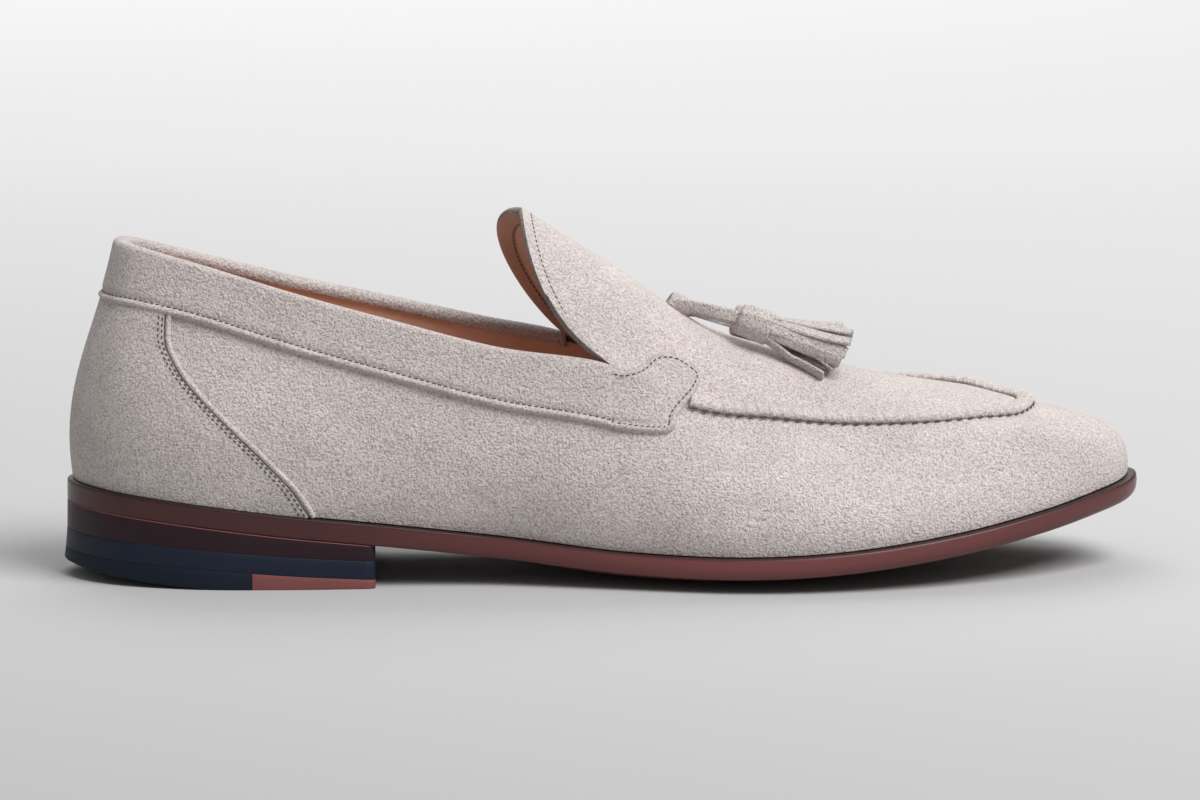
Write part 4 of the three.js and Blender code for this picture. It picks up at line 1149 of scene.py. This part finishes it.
def outsole_surface():
    """Sections across the sole: edge profile, tread with its crown, edge profile, top."""
    stations = 7 - 7 * np.cos(np.linspace(0, np.pi, 260))
    stations = np.clip(stations, 1e-3, TOE - 1e-3)

    def rim(place):
        foot = foot_line(place)
        out = outward(foot_line, place)
        fore = np.clip((foot[:, 0] - HEEL_LENGTH) / 60, 0, 1)[:, None, None]
        reach = EDGE_PROFILE[None, :, :1] * fore + FLAT_PROFILE[None, :, None] * (1 - fore)
        points = foot[:, None] + out[:, None] * reach
        points[..., 2] = seat_height(foot[:, 0])[:, None] - EDGE_PROFILE[None, :, 1]
        return points

    lateral = rim(stations)
    medial = rim(LOOP - stations)
    share = np.linspace(0, 1, 32)[None, 1:-1, None]
    tread = lateral[:, -1:] * (1 - share) + medial[:, -1:] * share
    from_heel = np.clip((tread[..., 0] - HEEL_LENGTH) / (0.55 * LAST_LENGTH - HEEL_LENGTH), 0, 1)
    to_toe = np.clip((tread[..., 0] / LAST_LENGTH - 0.8) / 0.2, 0, 1)
    ease = from_heel ** 2 * (3 - 2 * from_heel)
    toward = to_toe ** 2 * (3 - 2 * to_toe)
    crown = TREAD_CROWN * ease * (1 - 0.6 * toward)
    bulge = crown * (1 - (2 * share[..., 0] - 1) ** 2)
    tread[..., 2] = np.maximum(tread[..., 2] - bulge * CROWN_FULLNESS, 0)
    surface = np.concatenate([lateral, tread, medial[:, ::-1]], axis=1)
    heights = 1 - EDGE_PROFILE[:, 1] / SOLE_THICKNESS
    v = np.concatenate([heights, np.zeros(30), heights[::-1]])
    u = stations * 0.024
    uv = np.stack(np.broadcast_arrays(u[:, None], v[None]), axis=-1)
    return surface[:, ::-1], uv[:, ::-1]


class LOAFER_OT_heel(bpy.types.Operator):
    """Make the stacked heel: brown lift, dark block, rubber and leather top piece"""

    bl_idname = "loafer.heel"
    bl_label = "Make heel"

    def execute(self, context):
        values = looks()
        brown = edge_material(
            "heel_brown", values.lift, 0.42, 0.35,
            ([(0.0, 0.0), (0.93, 0.0), (0.97, 0.9), (1.0, 1.0)], scaled(values.sole, 1.4)),
            coat=0.05,
        )
        navy = edge_material("heel_navy", values.navy, 0.46, 0.18, coat=0.05)
        rubber = edge_material("heel_rubber", scaled(values.navy, 0.8), 0.55, 0.12)
        leather = edge_material("heel_insert", values.insert, 0.5, 0.35)
        start = HEEL_LENGTH - INSERT_LENGTH
        layers = (
            ("heel_lift", brown, "heel_brown", lift_top, lift_bottom, 1.7, 1.85, None, None),
            ("heel_block", navy, "heel_navy", block_top, block_bottom, 1.85, 2.3, None, None),
            ("heel_tip_rubber", rubber, "heel_rubber", tip_top, tip_bottom, 2.3, 2.7,
             None, start - 0.1),
            ("heel_tip_leather", leather, "heel_insert", tip_top, tip_bottom, 2.3, 2.7,
             start, None),
        )
        for name, material, slot, top, bottom, wide, wider, from_x, to_x in layers:
            points, faces, uv = heel_layer(top, bottom, wide, wider, from_x, to_x)
            add_piece(name, points, faces, material, (name,), uv)
        return {"FINISHED"}


def heel_share(x):
    return np.clip(1 - x / HEEL_LENGTH, -0.05, 1.05)


def lift_top(x):
    return seat_height(x) - SOLE_THICKNESS - GAP


def lift_bottom(x):
    return lift_top(x) - 4.0 - 3.4 * heel_share(x)


def block_top(x):
    return lift_bottom(x) - GAP


def block_bottom(x):
    return block_top(x) - 4.7 - 0.6 * heel_share(x)


def tip_top(x):
    return block_bottom(x) - GAP


def tip_bottom(x):
    flat = 0.52 * HEEL_LENGTH
    return 4.0 * np.maximum(0, (flat - x) / flat) ** 1.5


def heel_layer(top, bottom, wide, wider, from_x=None, to_x=None):
    """A layer's wall round its plan, with eased edges, and a cap above and below.

    The plan runs from the breast up the lateral side, round the back and down the medial side.
    The breast is hollow by a parabola, with rounded corners.
    """
    end = HEEL_LENGTH if to_x is None else to_x
    begin = -100.0 if from_x is None else from_x
    places = np.linspace(0.001, 5.2, 400)

    def side_line(margin, medial):
        place = LOOP - places if medial else places
        line = foot_line(place) + outward(foot_line, place) * margin
        first = np.interp(begin, line[:, 0], places) if begin > 0 else 0.001
        last = np.interp(end, line[:, 0], places)
        at = last + (first - last) * (1 - np.cos(np.linspace(0, np.pi, 60))) / 2
        place = LOOP - at if medial else at
        return foot_line(place) + outward(foot_line, place) * margin

    rows = [(0.0, 0.10), (0.0, 0.03), (0.04, 0.0), (0.35, 0.0), (0.65, 0.0), (0.96, 0.0),
            (1.0, 0.03), (1.0, 0.10)]
    levels = []
    for down, inset in rows:
        margin = wide + (wider - wide) * down - inset
        lateral = side_line(margin, False)
        medial = side_line(margin, True)
        if to_x is None:
            lateral = round_corner(lateral)
            medial = round_corner(medial)
        across = np.linspace(0, 1, 26)[None, :, None]
        plan = lateral[:, None] * (1 - across) + medial[:, None] * across
        if to_x is None:
            near = np.clip((plan[..., 0] - (end - 30)) / 30, 0, 1)
            plan[..., 0] -= 3.0 * near ** 2 * (1 - (2 * across[..., 0] - 1) ** 2)
            plan[..., 0] -= inset * near
        high, low = top(plan[..., 0]) + 0.9 * GAP, bottom(plan[..., 0])
        share = min(max(down, 0.012), 0.988)
        edge = {0: 0.0, 1: 0.02, 6: 0.98, 7: 1.0}.get(len(levels), share)
        plan[..., 2] = high * (1 - edge) + low * edge
        levels.append(plan)
    levels = np.stack(levels)
    count, long, wide_count = levels.shape[:3]
    loop = np.concatenate([
        np.stack([np.arange(long - 1), np.zeros(long - 1, int)], -1),
        np.stack([np.full(wide_count - 1, long - 1), np.arange(wide_count - 1)], -1),
        np.stack([np.arange(long - 1, 0, -1), np.full(long - 1, wide_count - 1)], -1),
        np.stack([np.zeros(wide_count - 1, int), np.arange(wide_count - 1, 0, -1)], -1),
    ])
    ring = levels[:, loop[:, 0], loop[:, 1]]
    around = ring.shape[1]
    side = grid_faces(count, around, wrap_rows=True)
    cap = grid_faces(long, wide_count)
    start = count * around
    size = long * wide_count
    points = np.concatenate([ring.reshape(-1, 3), levels[0].reshape(-1, 3), levels[-1].reshape(-1, 3)])
    faces = np.concatenate([side, cap + start, cap[:, ::-1] + start + size])
    lengths = arc_lengths(ring[0]) / 1000
    down = 1 - np.array([0.0, 0.02, 0.06, 0.35, 0.65, 0.94, 0.98, 1.0])
    uv = np.stack(np.broadcast_arrays(lengths[None], down[:, None]), axis=-1).reshape(-1, 2)
    flat = points[len(uv):, :2] / 1000
    return points, orient(points, faces), np.concatenate([uv, flat])


def orient(points, faces):
    """Faces turned so that the enclosed volume counts as positive."""
    corners = points[faces]
    volume = (np.cross(corners[:, 0], corners[:, 1]) * corners[:, 2]).sum()
    volume += (np.cross(corners[:, 0], corners[:, 2]) * corners[:, 3]).sum()
    return faces if volume > 0 else faces[:, ::-1]


def round_corner(line, radius=3.0):
    """Draws the end at the breast inwards on a quarter circle."""
    left = line[0, 0] - line[:, 0]
    share = np.clip(1 - left / radius, 0, 1)
    pull = radius * (1 - np.sqrt(1 - share ** 2)) * 0.6
    line = line.copy()
    line[:, 1] -= np.sign(line[:, 1]) * pull
    return line


class LOAFER_OT_tassels(bpy.types.Operator):
    """Make the lace that comes out of the vamp and the two tassels on it"""

    bl_idname = "loafer.tassels"
    bl_label = "Make tassels"

    def execute(self, context):
        material = suede("tassel")
        points, faces = join_parts(lace_parts())
        add_piece("lace", points, faces, material, ("lace_bar",))
        for side, name in ((-1, "tassel_near"), (1, "tassel_far")):
            points, faces = join_parts(tassel_parts(side))
            add_piece(name, points, faces, material, (name,))
        return {"FINISHED"}


KNOT_STATION = THROAT + 1.66
KNOT_RADIUS = 3.6
TASSEL_REACH = 15.0
TASSEL_SPREAD = 9.0
WRAP_RADIUS = 4.4
WRAP_LENGTH = 9.5
STRIP_LENGTH = 22.0
TASSEL_POSE = {-1: (0.0, 20.0), 1: (0.65, 17.0)}


def crest_frame(place):
    """A crest point, the way to the toe and the normal there."""
    run = unit(crest_point(place + 0.02) - crest_point(place - 0.02))
    normal = np.stack([-run[..., 2], 0 * run[..., 0], run[..., 0]], axis=-1)
    return crest_point(place), run, normal


def knot_centre():
    point, _, normal = crest_frame(np.array(KNOT_STATION))
    return point + normal * (GAP + KNOT_RADIUS)


def tassel_frame(side):
    """Start, axis, outer side and top of a tassel."""
    sink, tilt = TASSEL_POSE[side]
    knot = knot_centre()
    fall = 0.335 * TASSEL_REACH + sink * WRAP_RADIUS
    start = knot + np.array([TASSEL_REACH, side * TASSEL_SPREAD, -fall])
    tilt, splay = np.radians(tilt), np.radians(6)
    axis = np.array([
        np.cos(tilt) * np.cos(splay), side * np.cos(tilt) * np.sin(splay), -np.sin(tilt),
    ])
    outer = np.array([0.0, side, 0.0])
    outer = unit(outer - axis * (outer @ axis))
    top = np.cross(outer, axis) if side < 0 else np.cross(axis, outer)
    return start, axis, outer, top


def strip_profile(width, thickness):
    """A flat strip's rounded section: a superellipse."""
    turn = np.linspace(0, 2 * np.pi, 13)[:-1]
    ring = np.stack([np.cos(turn), np.sin(turn)], axis=-1)
    ring = np.sign(ring) * np.abs(ring) ** 0.6
    return ring * (width / 2, thickness / 2)


def strip(path, face, width, thickness, turn=None):
    """A flat strip along a path. face is the way its broad side looks, turned by turn."""
    run = unit(np.gradient(path, axis=0))
    face = unit(face - (face * run).sum(-1, keepdims=True) * run)
    across = np.cross(run, face)
    if turn is not None:
        turn = turn[:, None]
        face, across = (
            face * np.cos(turn) + across * np.sin(turn),
            across * np.cos(turn) - face * np.sin(turn),
        )
    points, faces = sweep(path, across, face, strip_profile(width, thickness))
    return points, orient(points, faces)


def apron_height(points):
    """Height of the apron's face under each point, from the nearest of its samples."""
    places = np.linspace(THROAT + 0.5, LOOP - THROAT - 0.5, 200)[:, None]
    samples = apron_point(places, np.linspace(0, 1, 40)[None]).reshape(-1, 3)
    gaps = ((points[:, None, :2] - samples[None, :, :2]) ** 2).sum(-1)
    return samples[gaps.argmin(axis=1), 2]


# turn round the tassel from its top towards its outer side, spread off its axis, fall at the tip,
# reach, twist, start: degrees, shares of the strip's length, and of the wrap's radius
STRIPS = np.array([
    (2, 8, 0.00, 1.00, 12, 0.70), (36, 6, 0.01, 1.02, -10, 0.68), (70, 3, 0.02, 1.00, 5, 0.70),
    (100, 4, 0.05, 0.96, 8, 0.70), (150, 16, 0.10, 0.92, -20, 0.72), (182, 9, 0.05, 0.88, 25, 0.68),
    (222, 4, 0.02, 0.94, -20, 0.66), (262, 5, 0.03, 0.99, 10, 0.66), (300, 6, 0.01, 1.00, 25, 0.66),
    (334, 8, 0.00, 1.03, -20, 0.68), (60, 3, 0.03, 0.95, 50, 0.36), (128, 5, 0.06, 0.92, 70, 0.40),
    (200, 3, 0.05, 0.90, 40, 0.34), (280, 3, 0.02, 0.97, 60, 0.34), (20, 4, 0.01, 0.96, 80, 0.40),
    (95, 1, 0.04, 0.90, 30, 0.30),
])


def tassel_parts(side):
    """The wrap, a rolled strip whose layers show at its mouth, and the strips out of it."""
    start, axis, outer, top = tassel_frame(side)
    parts = []
    along = np.linspace(0, 1, 24)
    turns = np.linspace(0, 2 * np.pi, 41)[:-1]
    radius = 1.1 * WRAP_RADIUS * np.interp(
        along, [0, 0.03, 0.1, 0.35, 0.75, 0.94, 1.0], [0.60, 0.84, 0.93, 0.97, 1.0, 1.02, 0.94],
    )
    seam = 0.10 * np.exp(-((turns - 1.1) / 0.12) ** 2) - 0.06 * np.exp(-((turns - 1.32) / 0.08) ** 2)
    wrap = (
        start + axis * WRAP_LENGTH * along[:, None, None]
        + (radius[:, None] * (1 + seam[None]))[..., None]
        * (top * np.cos(turns)[None, :, None] + outer * np.sin(turns)[None, :, None])
    )
    neck = np.repeat(start[None, None], 40, axis=1)
    mouth = start + axis * WRAP_LENGTH * 0.8
    wrap = np.concatenate([neck, wrap, np.repeat(mouth[None, None], 40, axis=1)])
    faces = grid_faces(wrap.shape[0], 40, wrap_rows=True)
    wrap = wrap.reshape(-1, 3)
    parts.append((wrap, orient(wrap, faces)))
    share = np.linspace(0, 1, 22)
    for turn, spread, fall, reach, twist, begin in STRIPS[: sizes().strips]:
        angle, away = np.radians(turn), np.radians(spread)
        radial = top * np.cos(angle) + outer * np.sin(angle)
        root = start + axis * 0.75 * WRAP_LENGTH + radial * begin * WRAP_RADIUS
        length = share * (STRIP_LENGTH * reach + 0.25 * WRAP_LENGTH)
        bend = away * (0.6 + 0.6 * share)
        path = root + axis * (length * np.cos(bend))[:, None] + radial * (length * np.sin(bend))[:, None]
        wave = 0.35 * np.sin(5 * share + turn)
        path = path + np.cross(axis, radial) * wave[:, None]
        path[:, 2] -= fall * STRIP_LENGTH * share ** 2
        path[:, 2] = np.maximum(path[:, 2], apron_height(path) + 2.0)
        parts.append(strip(path, radial, 3.5, 1.1, np.radians(twist) * share ** 1.5))
    return parts


def lace_parts():
    """The lace: a flat knot over the slit in the vamp, and a strand to each tassel."""
    knot = knot_centre()
    parts = []
    turns = np.linspace(0, np.pi, 25)
    point, run, normal = crest_frame(np.array(KNOT_STATION))
    for side in (-1, 1):
        start, axis, _, _ = tassel_frame(side)
        end = start + axis * 0.9
        hole = point + np.array([0, side * 1.6, 0]) - run * 1.5 - normal * 1.0
        share = np.linspace(0, 1, 30)
        path = bezier((
            hole, hole + normal * 3.4 + run * 1.5 + np.array([0, side * 3.0, 0]),
            start - axis * 8.0 - UP * 0.8, end,
        ), share)
        face = np.array([0.0, side * 1.0, 0.35])[None] + 0 * path
        parts.append(strip(path, face, 3.8, 1.4, 0.45 * np.sin(np.pi * share)))
        lower = bezier((
            hole + run * 4.0, hole + run * 5.0 + normal * 2.6,
            start - axis * 7.0 - UP * 2.6, end - UP * 1.9,
        ), share)
        parts.append(strip(lower, face, 1.5, 1.0, 1.4 * share))
    point, run, normal = crest_frame(np.array(KNOT_STATION))
    bar = np.stack([
        0 * turns - 0.6, 3.0 * np.cos(turns), 3.5 * np.sin(turns),
    ], axis=-1)
    path = point + bar[:, :1] * run + bar[:, 1:2] * np.array([0, 1, 0]) + bar[:, 2:] * normal
    radial = unit(path - point)
    parts.append(strip(path, radial, 4.6, 1.3))
    return parts


class LOAFER_OT_stage(bpy.types.Operator):
    """Make the pale floor, the soft lights and the camera"""

    bl_idname = "loafer.stage"
    bl_label = "Make stage"

    def execute(self, context):
        make_floor()
        make_lights()
        make_camera()
        context.scene.view_settings.view_transform = "Standard"
        return {"FINISHED"}


def make_floor():
    """A floor that rises into a wall far behind: y runs back, then turns up on a quarter circle. Its
    colour is painted shade, darker toward the front and lighter toward the wall.
    """
    along = np.concatenate([np.linspace(-3.0, 4.0, 71), np.linspace(4.0, 4.0, 2)[1:]])
    turn = np.linspace(0, np.pi / 2, 25)[1:]
    y = np.concatenate([along[:-1], 4.0 + 1.5 * np.sin(turn), [5.5]])
    z = np.concatenate([0 * along[:-1], 1.5 * (1 - np.cos(turn)), [5.0]])
    x = np.linspace(-6, 6, 25)
    points = np.stack(np.broadcast_arrays(x[:, None], y[None], z[None]), axis=-1)
    faces = grid_faces(*points.shape[:2])
    mesh = bpy.data.meshes.new("floor")
    mesh.from_pydata(points.reshape(-1, 3).tolist(), [], faces.tolist())
    mesh.polygons.foreach_set("use_smooth", np.ones(len(mesh.polygons), dtype=bool))
    shade = Shade("floor_paper")
    place = shade.node("ShaderNodeTexCoord").outputs["Object"]
    split = shade.node("ShaderNodeSeparateXYZ")
    shade.link(place, split.inputs[0])
    reach = shade.node("ShaderNodeMapRange")
    reach.inputs["From Min"].default_value = -0.30
    reach.inputs["From Max"].default_value = 2.3
    shade.link(split.outputs["Y"], reach.inputs["Value"])
    # painted shade: the floor's colour darkens toward the front, for the studio light falling off there
    tone = shade.ramp(reach.outputs["Result"], [
        (0.0, 0.38), (0.043, 0.41), (0.084, 0.45), (0.198, 0.50), (0.37, 0.60), (0.573, 0.695),
        (0.908, 0.745), (1.0, 0.755),
    ])
    shade.set(Base_Color=tone, Roughness=0.9, Specular_IOR_Level=0.1)
    mesh.materials.append(shade.material)
    floor = bpy.data.objects.new("floor", mesh)
    bpy.context.scene.collection.objects.link(floor)


def aim(place, target):
    """A matrix at a place whose -Z looks at a target."""
    place, target = np.array(place, float), np.array(target, float)
    back = unit(place - target)
    side = unit(np.cross(UP, back))
    up = np.cross(back, side)
    matrix = np.eye(4)
    matrix[:3, 0], matrix[:3, 1], matrix[:3, 2], matrix[:3, 3] = side, up, back, place
    return Matrix(matrix.tolist())


def make_lights():
    world = bpy.data.worlds.new("studio")
    world.use_nodes = True
    background = world.node_tree.nodes["Background"]
    background.inputs["Color"].default_value = (0.98, 0.985, 1.0, 1)
    background.inputs["Strength"].default_value = 0.33
    bpy.context.scene.world = world
    lamps = (
        ("key", (0.86, -0.76, 1.42), (0.06, 0.0, 0.03), 1.1, 37.0, (1.0, 0.995, 0.99)),
        ("back", (0.0, 2.7, 2.6), (0.0, 2.3, 0.0), 3.0, 80.0, (1.0, 1.0, 1.0)),
    )
    for name, place, target, size, power, colour in lamps:
        light = bpy.data.lights.new(name, "AREA")
        light.shape = "SQUARE"
        light.size = size
        light.energy = power
        light.color = colour
        lamp = bpy.data.objects.new(name, light)
        lamp.matrix_world = aim(place, target)
        bpy.context.scene.collection.objects.link(lamp)


def make_camera():
    """The photograph's camera: place in metres, yaw and pitch as its turn and tilt."""
    yaw, pitch, roll = np.radians([3.579, 8.310, 0.076])
    ahead = np.array([np.sin(yaw) * np.cos(pitch), np.cos(yaw) * np.cos(pitch), -np.sin(pitch)])
    right = np.array([np.cos(yaw), -np.sin(yaw), 0.0])
    up = np.cross(right, ahead)
    side = right * np.cos(roll) + up * np.sin(roll)
    top = -right * np.sin(roll) + up * np.cos(roll)
    matrix = np.eye(4)
    matrix[:3, 0], matrix[:3, 1], matrix[:3, 2] = side, top, -ahead
    matrix[:3, 3] = (-0.01311, -1.50621, 0.26771)
    camera = bpy.data.cameras.new("camera")
    camera.sensor_width = 36
    camera.lens = 5410.7 / 1200 * 36
    camera.clip_start = 0.05
    eye = bpy.data.objects.new("camera", camera)
    eye.matrix_world = Matrix(matrix.tolist())
    bpy.context.scene.collection.objects.link(eye)
    bpy.context.scene.camera = eye


OPERATORS = (
    LOAFER_OT_upper,
    LOAFER_OT_lining,
    LOAFER_OT_band,
    LOAFER_OT_counter,
    LOAFER_OT_seam,
    LOAFER_OT_stitches,
    LOAFER_OT_sole,
    LOAFER_OT_heel,
    LOAFER_OT_tassels,
    LOAFER_OT_stage,
)


class LOAFER_PT_pieces(bpy.types.Panel):
    """Lists the loafer's pieces and settings"""

    bl_label = "Tassel loafer"
    bl_idname = "LOAFER_PT_pieces"
    bl_space_type = "VIEW_3D"
    bl_region_type = "UI"
    bl_category = "Loafer"

    def draw(self, context):
        for group in (context.scene.loafer_looks, context.scene.loafer_sizes):
            column = self.layout.column()
            for name in group.__annotations__:
                column.prop(group, name)
        for operator in OPERATORS:
            self.layout.operator(operator.bl_idname)


CLASSES = (LoaferLooks, LoaferSizes, *OPERATORS, LOAFER_PT_pieces)


def register():
    for each in CLASSES:
        bpy.utils.register_class(each)
    bpy.types.Scene.loafer_looks = bpy.props.PointerProperty(type=LoaferLooks)
    bpy.types.Scene.loafer_sizes = bpy.props.PointerProperty(type=LoaferSizes)


def unregister():
    del bpy.types.Scene.loafer_sizes
    del bpy.types.Scene.loafer_looks
    for each in reversed(CLASSES):
        bpy.utils.unregister_class(each)


def main():
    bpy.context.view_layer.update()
    register()
    for operator in OPERATORS:
        group, name = operator.bl_idname.split(".")
        getattr(getattr(bpy.ops, group), name)()


if __name__ == "__main__":
    main()
